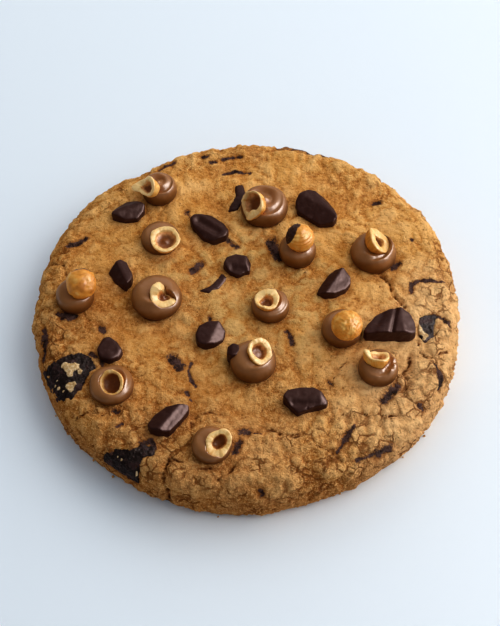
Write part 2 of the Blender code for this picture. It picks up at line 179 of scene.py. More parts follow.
# The crust's finer forms: size, and where the noise that makes them starts
BILLOWS = (7.5, (2.2, 4.9, 7.7))
KNOBS = (4.2, (3.1, 8.2, 0.4))
GRAINS = (1.9, (0.7, 5.5, 2.2))
CRUMB = (1.25, (9.7, 1.5, 6.2))
ROUGH_PATCHES = (15, (5, 5, 5))

# Rings of faces from the middle of the top down to the foot
TOP_RINGS, SHOULDER_RINGS, WALL_RINGS, FOOT_RINGS = 98, 28, 13, 10
RINGS = TOP_RINGS + SHOULDER_RINGS + WALL_RINGS + FOOT_RINGS
# The crust gets rougher from some rings inside the shoulder to some beyond its start
BROKEN_INSIDE, BROKEN_OUTSIDE = 20, 10

# Dark flecks of chocolate in the dough: half width, and the way each one runs
FLECKS = (
    (1.7, ((-26, 15), (-22.5, 19))),
    (1.1, ((-86, 31), (-81, 32), (-77.5, 34.5))),
    (2.4, ((-33.5, -34), (-30.5, -37.5))),
    (0.6, ((-25.2, -35.5), (-26.5, -40), (-25, -45), (-23, -48))),
    (1.8, ((62, 56), (63.5, 56.5))),
    (1.0, ((76.6, 3), (76.5, 7.5), (80, 9.5))),
    (0.5, ((80, 9.5), (84, 9.8), (94, 9.5))), (0.9, ((80, 9.5), (86, 9.8))),
    (0.5, ((47, -67.5), (43, -73.7), (39, -80.5))), (1.3, ((45, -70.5), (42.5, -74.5))),
    (0.5, ((47.5, -82.8), (56, -79), (64, -74))), (1.2, ((56, -79), (62.5, -75))),
    (1.9, ((61, -54.5), (64, -50.5), (67, -47.5))),
    (0.4, ((84, -34.5), (87, -40), (86, -46.5))), (0.8, ((86, -38), (86.8, -42))),
    (1.8, ((-2.5, -70.5), (0.5, -71.5))), (0.5, ((0, -71), (6, -72))),
    (1.5, ((-3.5, -76), (-5.5, -81))),
    (0.9, ((18, -19), (19.5, -22), (20.2, -26))),
    (2.6, ((11.5, 31.5), (12.5, 27.5), (15, 23))),
    (0.7, ((-12.5, 84), (-8, 85.5), (-3.3, 86))),
    (0.9, ((-18, 82), (-16, 82.5))),
    (1.1, ((-22, 85.5), (-20.5, 85.7))),
    (0.7, ((-11.7, 74.2), (-6, 76), (1.2, 75))),
    (1.2, ((-43.5, 78), (-37.2, 82.2))),
    (2.2, ((16, 95), (27, 92.5))),
    (1.9, ((31, 91), (40, 88.5))),
    (1.2, ((-9.8, 32.8), (-5, 28.6))),
    (1.0, ((-88, -9), (-79, -9.5))), (1.8, ((-85, -9.6), (-81.5, -10))),
    (1.4, ((-67.5, -16.5), (-65.8, -18.2))),
    (1.7, ((69, 18), (71, 19.5))),
    (1.0, ((78, 33), (78.3, 33.3))),
    (0.7, ((-27, -50.5), (-25, -55))),
    (0.8, ((5.5, -97.2), (6.5, -97.2))),
    (0.9, ((-93.5, -16), (-92.5, -24), (-93.5, -30.5))), (1.4, ((-93, -20), (-92.7, -24))),
    (0.7, ((-29.2, 51), (-28.6, 50.4))),
    (0.7, ((-17.5, -10.8), (-17, -15))),
    (1.2, ((77, -56), (79, -57))),
    (0.8, ((85, -9), (91, -10.5), (94, -14))),
    (1.1, ((-58.5, -60), (-57.5, -60.5))),
    (1.0, ((-30, 49.5), (-27, 45.5))),
    (1.3, ((-46, -76), (-42, -75), (-40.5, -78))),
    (1.0, ((-71, -31), (-66.5, -34), (-64.5, -38))),
    (0.6, ((-57, -68), (-55, -66))),
    (0.5, ((36, -45), (38, -47))),
)
# Cracks and creases: half width, depth, and the way each one runs
CRACKS = (
    (1.1, 2.4, ((62, 14), (66.3, 9.4), (67.8, 3.8), (69.9, -0.7), (72.9, -5.1))),
    (0.9, 1.8, ((77.6, -24.2), (78.7, -29.5), (82.5, -32.6), (92, -27))),
    (1.2, 2.2, ((73.6, -31.2), (72.3, -37.5), (70.3, -40.1), (72.3, -44.8), (69.7, -51))),
    (0.8, 1.6, ((-94, 21.9), (-87.2, 19.1), (-84.8, 12.1))),
    (0.4, 0.7, ((-84, 13), (-76, 12.5), (-66, 15.5))),
    (0.5, 0.9, ((-82.1, -12.1), (-79.6, -15.5), (-75.7, -18.3))),
    (0.5, 0.8, ((44.4, -35.3), (41.1, -39.5), (38.2, -44.7))),
    (1.1, 2.0, ((3.3, -71.4), (10.8, -70.5), (18.1, -73.3), (24, -72))),
    (1.0, 1.9, ((-4.9, -86.4), (-8.3, -90.9), (-12.6, -93.2))),
    (0.8, 1.1, ((-24.7, -68.9), (-23.9, -64), (-16.5, -61.1), (-10.7, -62.6))),
    (1.2, 2.6, ((-33, -83), (-34.7, -86.2), (-36, -91), (-33, -97))),
    (1.0, 1.9, ((-33, -84), (-27, -85.5), (-21.7, -88.1), (-16.1, -88.2))),
    (0.6, 1.0, ((33, -64), (38, -66), (42, -62), (48, -63))),
    (0.6, 1.0, ((22, -80), (30, -77), (36, -80), (41, -84))),
    (0.5, 0.8, ((52, -62), (57, -60), (60, -63), (66, -62))),
    (0.5, 0.8, ((-76, -62), (-70, -60), (-64, -62))),
    (0.5, 0.7, ((-58, -40), (-52, -43), (-46, -42))),
    (0.4, 0.7, ((-34, -60), (-40, -58.5), (-46, -60))),
    (0.5, 0.7, ((62, 48), (55, 47), (48, 45))),
    (0.4, 0.6, ((86, -6), (88, 0), (93, 2))),
)
# Places where the crust broke into a net of fine cracks: place, spread, strength
CRAZED = ((44, -68, 30, 1.0), (78, -42, 24, 1.0), (-52, -66, 26, 0.75), (2, -86, 26, 0.7),
          (84, 10, 18, 0.5), (-80, -20, 18, 0.5), (20, -45, 14, 0.45), (-30, -75, 14, 0.5))
# Places that the oven left paler, and places that it browned more: place, spread,
# strength; and the patches of both, as size and start
PALE_PLACES = ((74, -54, 30, 1.3), (92, -16, 22, 1.3), (0, -82, 22, 0.25), (84, 6, 14, 0.4),
               (-40, -72, 14, 0.2))
PALE_PATCHES = (12, (4, 8, 1))
TOASTED_PLACES = ((5, -92, 26, 0.45), (-45, -80, 24, 0.25), (-88, -30, 22, 0.15),
                  (10, -72, 14, 0.2), (-40, 88, 16, 0.2), (50, 84, 12, 0.2))
TOASTED_PATCHES = (22, (6, 1, 3))
# Painted shade, darker away from the window: how much less of it for each millimetre to the right and to
# the back
SHADE_SLOPE = (0.0030, 0.0034, 0)
# Outlines of the chunks baked in flush with the surface, which sink the dough
BAKED_IN = (
    ((-93, -36), (-88, -34), (-82.5, -31.5), (-76, -30), (-70.5, -33), (-68, -38.5),
     (-72, -43), (-74, -49), (-79, -53.5), (-85.5, -50.5), (-90, -44)),
    ((-68, -78), (-59, -76.5), (-51, -78.5), (-46, -76.5), (-40.5, -78), (-39.5, -82),
     (-45.5, -83.5), (-48.5, -90), (-57, -94)),
    ((78, -19), (79, -11), (84, -9), (89, -9.5), (85.5, -15), (85, -21), (80.5, -24)),
    ((-22, 3.5), (-17.5, 5.5), (-13.5, 10.5), (-12, 13), (-9.8, 10.5), (-13.5, 4.5), (-18, 2)),
    ((-9.5, 50.5), (-7.5, 55.5), (-5.5, 59.5), (-6, 66), (-2.5, 67), (-1, 60.5), (-5, 51)),
)
BAKED_IN_SUNK = 1.3
# The side of the cookie isn't sunk: it starts between these two heights
SUNK_FROM, SUNK_FULLY = 6, 9
# How far the painted shade round the toppings reaches into the crust
CONTACT_SHADE_REACH = 1.6
# The underside is quite flat
FLAT_BELOW = 1e-6


def noise_at(points, size, start=(0, 0, 0)):
    """Smooth noise from -1 to 1 at each point, its waves about `size` long."""
    begin = Vector(start)
    return np.array([noise.noise(Vector(point) / size + begin) for point in points])


def outline_radius(angle):
    """Radius of the cookie's wavy, dented outline in each direction."""
    radius = np.full_like(angle, RADIUS)
    for count, depth, crest in OUTLINE_WAVES:
        radius += depth * np.cos(count * angle - math.radians(crest))
    for middle, half_width, depth in EDGE_DENTS:
        turn = np.degrees(np.angle(np.exp(1j * (angle - math.radians(middle)))))
        radius -= depth * np.exp(-((turn / half_width) ** 2))
    return radius


def side_profile(ring, angle):
    """Radius, height and outward slope of the smooth dough at each ring."""
    inner = np.clip(ring / TOP_RINGS, 0, 1)
    over = np.clip((ring - TOP_RINGS) / SHOULDER_RINGS, 0, 1) * math.pi / 2
    down = np.clip((ring - TOP_RINGS - SHOULDER_RINGS) / WALL_RINGS, 0, 1)
    under = np.clip((ring - TOP_RINGS - SHOULDER_RINGS - WALL_RINGS) / FOOT_RINGS, 0, 1) * math.pi / 2
    foot = FOOT_WIDTH + FOOT_SWING * np.cos(angle - FOOT_WIDEST_AT)
    radius = CORE_RADIUS * inner + SHOULDER_WIDTH * np.sin(over) - foot * (1 - np.cos(under))
    wall = EDGE_HEIGHT - SHOULDER_HEIGHT - FOOT_HEIGHT
    height = EDGE_HEIGHT + DOME * (1 - inner ** 2) - SHOULDER_HEIGHT * (1 - np.cos(over))
    height -= wall * down
    height -= FOOT_HEIGHT * np.sin(under)
    return radius, height, np.maximum(over, np.arctan(2 * DOME * radius / CORE_RADIUS ** 2))


def disc_places(across, along):
    """Share of the way out and angle, for places on a square sheet from -1 to 1."""
    wide = np.abs(across) > np.abs(along)
    share = np.where(wide, across, along)
    safe = np.where(share == 0, 1, share)
    angle = np.where(wide, math.pi / 4 * along / safe, math.pi / 2 - math.pi / 4 * across / safe)
    angle = np.where(share < 0, angle + math.pi, angle)
    return np.abs(share), angle


def near_line(points, line):
    """Distance of each point, seen from above, to a line of straight runs."""
    nearest = np.full(len(points), np.inf)
    for start, end in zip(np.array(line[:-1], float), np.array(line[1:], float)):
        run = end - start
        share = np.clip((points[:, :2] - start) @ run / (run @ run), 0, 1)
        gap = np.linalg.norm(points[:, :2] - start - share[:, None] * run, axis=1)
        nearest = np.minimum(nearest, gap)
    return nearest


def within(points, outline):
    """How deep each point lies inside an outline, negative outside it."""
    inside = np.zeros(len(points), bool)
    corners = list(outline)
    for (ax, ay), (bx, by) in zip(corners, corners[1:] + corners[:1]):
        crosses = (ay > points[:, 1]) != (by > points[:, 1])
        meets = ax + (points[:, 1] - ay) * (bx - ax) / ((by - ay) or 1e-9)
        inside ^= crosses & (points[:, 0] < meets)
    return np.where(inside, 1, -1) * near_line(points, corners + corners[:1])


def rise(value, low_edge, high_edge):
    """Smooth step from 0 to 1 between two edges."""
    share = np.clip((value - low_edge) / (high_edge - low_edge), 0, 1)
    return share * share * (3 - 2 * share)


def hills(points, places):
    """Sum of rounded hills or hollows at each point."""
    total = np.zeros(len(points))
    for x, y, spread, amount in places:
        gap = np.hypot(points[:, 0] - x, points[:, 1] - y) / spread
        total += amount * np.exp(-(gap ** 2))
    return total


def add_attribute(mesh, name, values):
    mesh.attributes.new(name, "FLOAT", "POINT").data.foreach_set("value", np.asarray(values, np.float32))


shape = bmesh.new()
bmesh.ops.create_grid(shape, x_segments=2 * RINGS, y_segments=2 * RINGS, size=1.0)
dough_rim = [edge for edge in shape.edges if edge.is_boundary]
bmesh.ops.contextual_create(shape, geom=dough_rim)
dough = bpy.data.meshes.new("cookie_dough")
shape.to_mesh(dough)
shape.free()

sheet = np.zeros(len(dough.vertices) * 3)
dough.vertices.foreach_get("co", sheet)
sheet = sheet.reshape(-1, 3)
share, angle = disc_places(sheet[:, 0], sheet[:, 1])
radius, height, slope = side_profile(share * RINGS, angle)
radius *= outline_radius(angle) / RADIUS
smooth_form = np.stack((radius * np.cos(angle), radius * np.sin(angle), height), 1)
outward = np.stack((np.sin(slope) * np.cos(angle), np.sin(slope) * np.sin(angle), np.cos(slope)), 1)

broad = hills(smooth_form, SWELLS) + LUMP_HEIGHT * noise_at(smooth_form, LUMP_SIZE)
broad += RIPPLE_HEIGHT * noise_at(smooth_form, RIPPLE_SIZE, RIPPLE_START)
on_side = rise(share * RINGS, TOP_RINGS + 0.45 * SHOULDER_RINGS, TOP_RINGS + SHOULDER_RINGS)
near_rim = rise(share * RINGS, TOP_RINGS - BROKEN_INSIDE, TOP_RINGS + BROKEN_OUTSIDE)
crazed = np.minimum(1, hills(smooth_form, CRAZED))
knobs = noise_at(smooth_form, *KNOBS)
grains = noise_at(smooth_form, *GRAINS)
crumb = noise_at(smooth_form, *CRUMB)
rough = 0.25 + 0.55 * near_rim + 0.75 * crazed + 0.5 * noise_at(smooth_form, *ROUGH_PATCHES)
rough = np.clip(rough, 0.1, 1.3)
puffed = 1.3 * np.abs(knobs) - 0.33
billows = 1.5 * np.abs(noise_at(smooth_form, *BILLOWS)) - 0.35
pebbles = 0.8 * np.abs(grains) - 0.2
fine = puffed * (0.45 + 0.60 * rough) + billows * (0.75 + 0.60 * rough)
fine += pebbles * (0.30 + 0.60 * rough)
fine += 0.22 * crumb * rough
fine += on_side * (0.35 * crumb + 0.25 * grains)
fine += hills(smooth_form, PUFFS)

cocoa = np.zeros(len(sheet))
for half_width, line in FLECKS:
    gap = near_line(smooth_form, line) + min(1.1, half_width) * (0.45 * grains + 0.75 * knobs)
    cocoa = np.maximum(cocoa, 1 - gap / (1.9 * half_width + 0.3))
cracks = np.zeros(len(sheet))
crack_depth = np.zeros(len(sheet))
for half_width, depth, line in CRACKS:
    gap = near_line(smooth_form, line) + 0.9 * knobs + 0.5 * grains
    mask = np.exp(-((gap / (half_width * 0.85)) ** 2)) * (0.75 + 0.5 * crumb)
    crack_depth = np.minimum(crack_depth, -depth * mask)
    cracks = np.maximum(cracks, mask)

sunk = np.zeros(len(sheet))
for outline in BAKED_IN:
    depth_in = within(smooth_form, outline) + 0.6 * grains + 0.8 * knobs
    sunk = np.maximum(sunk, rise(depth_in, -0.3, 1.6))
sunk *= rise(smooth_form[:, 2], SUNK_FROM, SUNK_FULLY)

relief = broad + fine - 0.45 * rise(cocoa, 0.3, 0.6) + crack_depth - BAKED_IN_SUNK * sunk
settled = np.clip(height / FOOT_HEIGHT, 0, 1)
surface = smooth_form + outward * (relief * settled)[:, None]
surface[height < FLAT_BELOW, 2] = 0
surface[:, :2] += own_middle
dough.vertices.foreach_set("co", (surface * MM).ravel())
cocoa = np.clip(cocoa, 0, 1) * (1 - 0.9 * rise(on_side, 0.7, 1.0))
add_attribute(dough, "cocoa", np.maximum(cocoa, 0.7 * sunk))
add_attribute(dough, "crack", cracks)
# Relief heights, from which the look paints raised crust lighter and hollows darker: painted light and
# shade
add_attribute(dough, "relief_shading", (fine + 0.35 * broad) * 0.8)
add_attribute(dough, "rough", rough)
add_attribute(dough, "side", on_side)
# Browning in patches, plus painted shade towards the front left and round the toppings
toast_and_shade = 0.10 - smooth_form @ np.array(SHADE_SLOPE) + 0.25 * noise_at(smooth_form, *TOASTED_PATCHES)
pale = hills(smooth_form, PALE_PLACES) + 0.25 * noise_at(smooth_form, *PALE_PATCHES)
pale = np.clip(pale, 0, 1)
add_attribute(dough, "pale", pale)
# Painted contact shade: the crust is browned darker in a ring round each dollop and chunk
contact_shade = np.zeros(len(sheet))
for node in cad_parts:
    if node.startswith(("spread_dollop", "chocolate_chunk")):
        low, high = (corner.xy / MM - own_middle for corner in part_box(node))
        middle, half = (low + high) / 2, (high - low) / 2
        reach = np.hypot((smooth_form[:, 0] - middle.x) / half.x, (smooth_form[:, 1] - middle.y) / half.y)
        gap = (reach - 1) * min(half) + 0.6 * knobs
        contact_shade = np.maximum(contact_shade, np.exp(-(np.maximum(gap, 0) / CONTACT_SHADE_REACH) ** 2))
toast_and_shade += 0.4 * contact_shade + hills(smooth_form, TOASTED_PLACES) - 0.8 * pale
add_attribute(dough, "toast_and_shade", np.clip(np.maximum(toast_and_shade, 0.9 * on_side), 0, 1))
add_attribute(dough, "middle", rise(-share, -0.5, -0.2))
dough.shade_smooth()


class Link:
    """A socket in a material's nodes; sums of links add their Math nodes."""

    def __init__(self, tree, socket=None):
        self.tree = tree
        self.socket = socket

    def node(self, kind, settings=None, sockets=None, output=0):
        made = self.tree.nodes.new(kind)
        for name, value in (settings or {}).items():
            setattr(made, name, value)
        for name, value in (sockets or {}).items():
            if isinstance(value, Link):
                self.tree.links.new(value.socket, made.inputs[name])
            else:
                made.inputs[name].default_value = value
        return Link(self.tree, made.outputs[output])

    def math(self, operation, first, second):
        return self.node("ShaderNodeMath", {"operation": operation}, {0: first, 1: second})

    def __add__(self, other):
        return self.math("ADD", self, other)

    def __sub__(self, other):
        return self.math("SUBTRACT", self, other)

    def __rsub__(self, other):
        return self.math("SUBTRACT", other, self)

    def __mul__(self, other):
        return self.math("MULTIPLY", self, other)

    __radd__ = __add__
    __rmul__ = __mul__


def new_look(name, roughness, shine=0.5):
    """A material, its shader's sockets, and a link to start its nodes from."""
    look = bpy.data.materials.new(name)
    look.use_nodes = True
    shader = look.node_tree.nodes["Principled BSDF"]
    shader.inputs["Roughness"].default_value = roughness
    shader.inputs["Specular IOR Level"].default_value = shine
    return look, shader.inputs, Link(look.node_tree)


def join(start, source, target):
    start.tree.links.new(source.socket, target)


def object_place(start):
    """Place on the piece, in millimetres."""
    place = start.node("ShaderNodeTexCoord", output=3)
    return place.node("ShaderNodeVectorMath", {"operation": "SCALE"}, {0: place, "Scale": 1 / MM})


def mottle(place, size, detail=2.0, roughness=0.5, output=0):
    """Cloudy noise from 0 to 1, its patches about `size` millimetres long."""
    sockets = {"Vector": place, "Scale": 1 / size, "Detail": detail, "Roughness": roughness}
    return place.node("ShaderNodeTexNoise", None, sockets, output)


def stirred(place, size, amount):
    """A place moved about at random, so that a pattern on it runs unevenly."""
    cloud = mottle(place, size, 2.0, 0.5, 1)
    moved = cloud.node("ShaderNodeVectorMath", {"operation": "SUBTRACT"}, {0: cloud, 1: (0.5, 0.5, 0.5)})
    moved = moved.node("ShaderNodeVectorMath", {"operation": "SCALE"}, {0: moved, "Scale": amount})
    return moved.node("ShaderNodeVectorMath", {"operation": "ADD"}, {0: place, 1: moved})


def cells(place, size, feature="F1", output=0):
    """Cells about `size` millimetres wide: the way to a middle or edge, or a colour."""
    return place.node("ShaderNodeTexVoronoi", {"feature": feature},
                      {"Vector": place, "Scale": 1 / size}, output)


def step(value, low_edge, high_edge):
    """Smooth step of a link from 0 to 1 between two edges."""
    return value.node("ShaderNodeMapRange", {"interpolation_type": "SMOOTHSTEP"},
                      {"Value": value, "From Min": low_edge, "From Max": high_edge})


def larger(first, second):
    """The larger of two links' values."""
    return first.math("MAXIMUM", first, second)


def blend(factor, first, second):
    """Mix of two colours, which are sockets 6 and 7 of a Mix node."""
    return factor.node("ShaderNodeMix", {"data_type": "RGBA"}, {0: factor, 6: first, 7: second}, 2)


def bumped(height, strength, distance):
    return height.node("ShaderNodeBump", None,
                       {"Height": height, "Strength": strength, "Distance": distance * MM})


def painted(start, name):
    """One of the piece's own attributes, painted on its mesh."""
    return start.node("ShaderNodeAttribute", {"attribute_name": name}, output=2)


GOLD = (0.70, 0.355, 0.100, 1)
PALE_GOLD = (0.86, 0.485, 0.170, 1)
PALE_CRUST = (0.98, 0.61, 0.29, 1)
AMBER_AND_HOLLOW_SHADE = (0.57, 0.240, 0.048, 1)
OLIVE = (0.54, 0.375, 0.155, 1)
TOASTED_AND_SHADED = (0.42, 0.158, 0.036, 1)
CRUMB_BROWN = (0.35, 0.126, 0.026, 1)
CRUMB_LIGHT_AND_LIT_TOPS = (0.97, 0.61, 0.255, 1)
CRACK_SHADE_BROWN = (0.25, 0.082, 0.013, 1)
CRACK_DEEP_SHADE = (0.085, 0.028, 0.006, 1)
COCOA_BLACK = (0.038, 0.016, 0.010, 1)
COCOA_BROWN = (0.14, 0.072, 0.055, 1)
CLOUD_SIZE, UNDERTONE_SIZE, PATCH_SIZE = 16.0, 7.0, 4.5
BIT_SIZE, PIT_SIZE, GRIT_SIZE = 2.6, 1.5, 0.5
WIDE_GAP_CELL, THIN_GAP_CELL, PORE_CELL = 6.0, 2.8, 1.5
LOOSE_SIZE, LOOSE_SHIFT = 3.5, 3.0
BREAK_SIZE = 9.0

dough_look, dough_sockets, start = new_look("baked_dough", 0.85, 0.10)
place = object_place(start)
clouds = mottle(place, CLOUD_SIZE, 2.0)
patches = mottle(place, PATCH_SIZE, 4.0, 0.6)
pits = mottle(place, PIT_SIZE, 4.0, 0.62)
grit = mottle(place, GRIT_SIZE, 2.0, 0.6)
bits = mottle(place, BIT_SIZE, 3.0, 0.6)
rough = painted(start, "rough")
relief_shading = painted(start, "relief_shading")
side = painted(start, "side")
loose = stirred(place, LOOSE_SIZE, LOOSE_SHIFT)
breaks = mottle(place, BREAK_SIZE, 2.0)
wide_gaps = cells(loose, WIDE_GAP_CELL, "DISTANCE_TO_EDGE") + (pits - 0.5) * 0.12
wide_gaps = 1 - step(wide_gaps, 0.02, 0.10)
wide_gaps = wide_gaps * step(breaks + rough * 0.30, 0.76, 0.96)
thin_gaps = 1 - step(cells(loose, THIN_GAP_CELL, "DISTANCE_TO_EDGE"), 0.0, 0.11)
thin_gaps = thin_gaps * step(patches + rough * 0.30, 0.84, 1.02)
pores = 1 - step(cells(place, PORE_CELL), 0.14, 0.34)
pores = pores * step(cells(place, PORE_CELL, "F1", 1) + rough * 0.12 + side * 0.08, 0.84, 0.92)
colour = blend(step(clouds + patches * 0.5, 0.60, 0.90), GOLD, PALE_GOLD)
colour = blend(step(patches + clouds * 0.5, 0.80, 1.05) * 0.6, colour, AMBER_AND_HOLLOW_SHADE)
colour = blend(painted(start, "pale") * 0.8, colour, PALE_CRUST)
undertone = painted(start, "middle") * 0.35 + mottle(place, UNDERTONE_SIZE, 3.0)
colour = blend(step(undertone, 0.66, 0.90) * 0.5, colour, OLIVE)
# Painted light on the raised crust and painted shade in its hollows
colour = blend(step(relief_shading + pits * 0.7, 0.40, 1.20) * 0.5, colour, CRUMB_LIGHT_AND_LIT_TOPS)
colour = blend((1 - step(relief_shading + pits * 0.6, -0.05, 0.45)) * 0.8, colour, AMBER_AND_HOLLOW_SHADE)
# Toasted brown in patches and on the side, and painted shade towards the front left and round the toppings
colour = blend(painted(start, "toast_and_shade") * 0.8, colour, TOASTED_AND_SHADED)
colour = blend(step(grit + pits * 0.3, 0.68, 0.84) * (0.15 + rough * 0.45), colour, CRUMB_LIGHT_AND_LIT_TOPS)
colour = blend((1 - step(grit + pits * 0.3, 0.46, 0.60)) * (0.15 + rough * 0.4), colour, CRUMB_BROWN)
colour = blend(step(pits + grit * 0.5, 0.80, 1.0) * (0.2 + rough * 0.35), colour, CRUMB_LIGHT_AND_LIT_TOPS)
# Darker brown specks, partly painted shade where the crust lies low
colour = blend((1 - step(pits + grit * 0.35 + relief_shading * 0.3, 0.36, 0.60)) * 0.75, colour, CRUMB_BROWN)
colour = blend(step(bits + pits * 0.4, 0.78, 0.94) * (0.2 + rough * 0.3), colour, CRUMB_LIGHT_AND_LIT_TOPS)
colour = blend((1 - step(bits + pits * 0.4, 0.50, 0.64)) * (0.25 + rough * 0.35), colour, CRUMB_BROWN)
colour = blend(painted(start, "pale") * 0.6, colour, PALE_CRUST)
# Painted shade in the cracks, the nets of fine gaps and the pores
dark = step(painted(start, "crack"), 0.25, 0.85) * 0.9
dark = larger(dark, larger(wide_gaps * 0.8, thin_gaps * 0.4))
colour = blend(larger(dark, pores * 0.6), colour, CRACK_SHADE_BROWN)
colour = blend(step(painted(start, "crack") + (pits - 0.5) * 0.4, 0.55, 0.95) * 0.85, colour, CRACK_DEEP_SHADE)
edge = painted(start, "cocoa") + (pits - 0.5) * 1.3 + (grit - 0.5) * 0.6
colour = blend(step(edge, 0.12, 0.50) * 0.65, colour, CRUMB_BROWN)
cocoa_seen = step(edge, 0.42, 0.68)
colour = blend(cocoa_seen, colour, blend(step(patches + grit * 0.5, 0.58, 0.85), COCOA_BLACK, COCOA_BROWN))
join(start, colour, dough_sockets["Base Color"])
join(start, 0.82 - cocoa_seen * 0.25, dough_sockets["Roughness"])
crust = pits * (0.8 + rough * 0.9) + grit * (0.15 + rough * 0.25)
crust = crust + bits * (1.1 + rough * 1.1) + patches * 0.6
crust = crust - wide_gaps * 0.5 - thin_gaps * 0.2 - pores * 0.3
join(start, bumped(crust, 0.9, 0.8), dough_sockets["Normal"])
dough.materials.append(dough_look)

cookie = link("dough_round", dough)
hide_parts("cookie")
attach(cookie, "root")

# The chopped chocolate
# Pieces chopped from a bar and pushed into the warm top, so their edges have
# softened and their faces have a satin shine. Each starts as its solid.
CHUNK_COUNT = 11
CHUNK_VOXEL = 0.32
# Rounds of softening for most chunks, and for those the warm top melted more
CHUNK_SOFTENING = 10
SOFTER = {1: 20, 2: 24, 5: 40, 6: 26, 10: 16, 11: 16}
# Troughs pressed into a chunk: its number, ends about its middle, width, depth
TROUGHS = {
    2: ((-5, 3.5, 3.5, -2.5, 2.2, 1.3),),
    4: ((-1.5, -2.5, 3.5, -2.5, 2.2, 1.0),),
    7: ((-1.5, -6, 6, 5.5, 1.5, 0.6),),
    10: ((3.5, 7, 0.5, -7, 1.0, 1.2), (-5, -1, -3, 4, 2.2, 0.7)),
    11: ((-5, -1.5, 7, -1.5, 1.8, 1.1), (0.5, -5, 1.5, -1, 0.8, 0.6)),
}
# Unevenness of the faces: the size and the height of its waves
CHUNK_WAVES = ((3.0, 0.16), (1.1, 0.05))
# Troughs are only pressed into faces that look up at least this much
FACES_UP = 0.2
CHOCOLATE = (0.062, 0.023, 0.016, 1)
CHOCOLATE_DUSTY = (0.100, 0.047, 0.038, 1)
WARM_SHEEN = (1.0, 0.80, 0.76, 1)
DUST_SIZE, SCUFF_SIZE = 2.6, 1.4

chocolate_look, sockets, start = new_look("dark_chocolate", 0.4, 0.32)
sockets["Specular Tint"].default_value = WARM_SHEEN
place = object_place(start)
dust = mottle(place, DUST_SIZE, 4.0, 0.6)
join(start, blend(step(dust, 0.5, 0.75) * 0.6, CHOCOLATE, CHOCOLATE_DUSTY), sockets["Base Color"])
join(start, 0.36 + dust * 0.20, sockets["Roughness"])
join(start, bumped(mottle(place, SCUFF_SIZE, 4.0, 0.6), 0.12, 0.5), sockets["Normal"])


def copy_of(node):
    """A merged copy of a solid's mesh, in millimetres."""
    shape = bmesh.new()
    shape.from_mesh(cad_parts[node].data)
    bmesh.ops.scale(shape, vec=(1 / MM,) * 3, verts=shape.verts)
    bmesh.ops.remove_doubles(shape, verts=shape.verts, dist=0.01)
    return shape


def remeshed(shape, voxel):
    """The same form with even faces, so that it can be smoothed and pressed."""
    mesh = bpy.data.meshes.new("rough_form")
    shape.to_mesh(mesh)
    shape.free()
    holder = link("rough_form", mesh)
    remesh = holder.modifiers.new("even faces", "REMESH")
    remesh.mode = "VOXEL"
    remesh.voxel_size = voxel
    remesh.adaptivity = 0.0
    even = bmesh.new()
    even.from_mesh(holder.evaluated_get(bpy.context.evaluated_depsgraph_get()).to_mesh())
    bpy.data.objects.remove(holder)
    bpy.data.meshes.remove(mesh)
    return even


def soften(shape, verts, rounds=1):
    """Rub a shape's edges and corners round at the points given."""
    for _ in range(rounds):
        bmesh.ops.smooth_vert(shape, verts=verts, factor=0.5,
                              use_axis_x=True, use_axis_y=True, use_axis_z=True)


def unevenness(spot, waves):
    """Sum of noise waves at a spot, each given by its size and height."""
    return sum(height * noise.noise(spot / size) for size, height in waves)


def finish(name, shape, look, nodes, own_attributes=()):
    """A smooth-shaded piece from a mesh in millimetres, in place of its solids."""
    bmesh.ops.scale(shape, vec=(MM,) * 3, verts=shape.verts)
    mesh = bpy.data.meshes.new(name)
    shape.to_mesh(mesh)
    shape.free()
    mesh.shade_smooth()
    mesh.materials.append(look)
    for attribute, values in own_attributes:
        add_attribute(mesh, attribute, values)
    piece = link(name, mesh)
    if nodes:
        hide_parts(*nodes)
    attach(piece, "root")


def chunk_piece(name, node, troughs=(), softening=CHUNK_SOFTENING):
    """A chopped piece: its solid with soft edges, uneven faces and its troughs."""
    shape = remeshed(copy_of(node), CHUNK_VOXEL)
    low, high = (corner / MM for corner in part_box(node))
    middle = (low + high) / 2
    soften(shape, shape.verts, softening)
    shape.normal_update()
    for vert in shape.verts:
        local = vert.co - middle
        press = 0.0
        if vert.normal.z > FACES_UP:
            for ax, ay, bx, by, width, depth in troughs:
                gap = near_line(np.array([local[:2]]), ((ax, ay), (bx, by)))[0]
                press = max(press, depth * math.exp(-((gap / width) ** 2)))
        vert.co += vert.normal * unevenness(vert.co, CHUNK_WAVES)
        vert.co.z -= press
    finish(name, shape, chocolate_look, [node])


for number in range(1, CHUNK_COUNT + 1):
    chunk_piece(f"chopped_chunk_{number:02}", f"chocolate_chunk_{number:02}",
                TROUGHS.get(number, ()), SOFTER.get(number, CHUNK_SOFTENING))
chunk_piece("stuck_chip", "chocolate_chip")

# The baked-in chocolate
# Chunks stirred into the dough that came up to its surface in the oven: their
# tops are matt and broken, flush with the crust, with pale crumbs lodged in them.
BAKED_BLACK = (0.030, 0.013, 0.008, 1)
BAKED_GREY = (0.115, 0.066, 0.052, 1)
BAKED_PURPLE = (0.085, 0.036, 0.030, 1)
CRUMB_PALE = (0.82, 0.60, 0.34, 1)
CRUMB_TAN = (0.62, 0.38, 0.16, 1)
FLAKE_SIZE, CLUMP_SIZE = 1.3, 5.0
BAKED_COUNT = 5
BAKED_VOXEL = 0.42
# The last two are fresher, smoother slivers whose edges melted round
FRESH_FROM = 4
FRESH_SOFTENING = 9
# Broken faces: the waves' sizes and heights. Fresh slivers have a share of them
BAKED_WAVES = ((2.4, 0.5), (0.9, 0.35))
FRESH_WAVES_SHARE = 0.35
# How far each kind stands out of its solid, and a lodged crumb out of the chunk
BAKED_STANDS, FRESH_STANDS = 0.1, 0.5
CRUMB_STANDS = 0.9
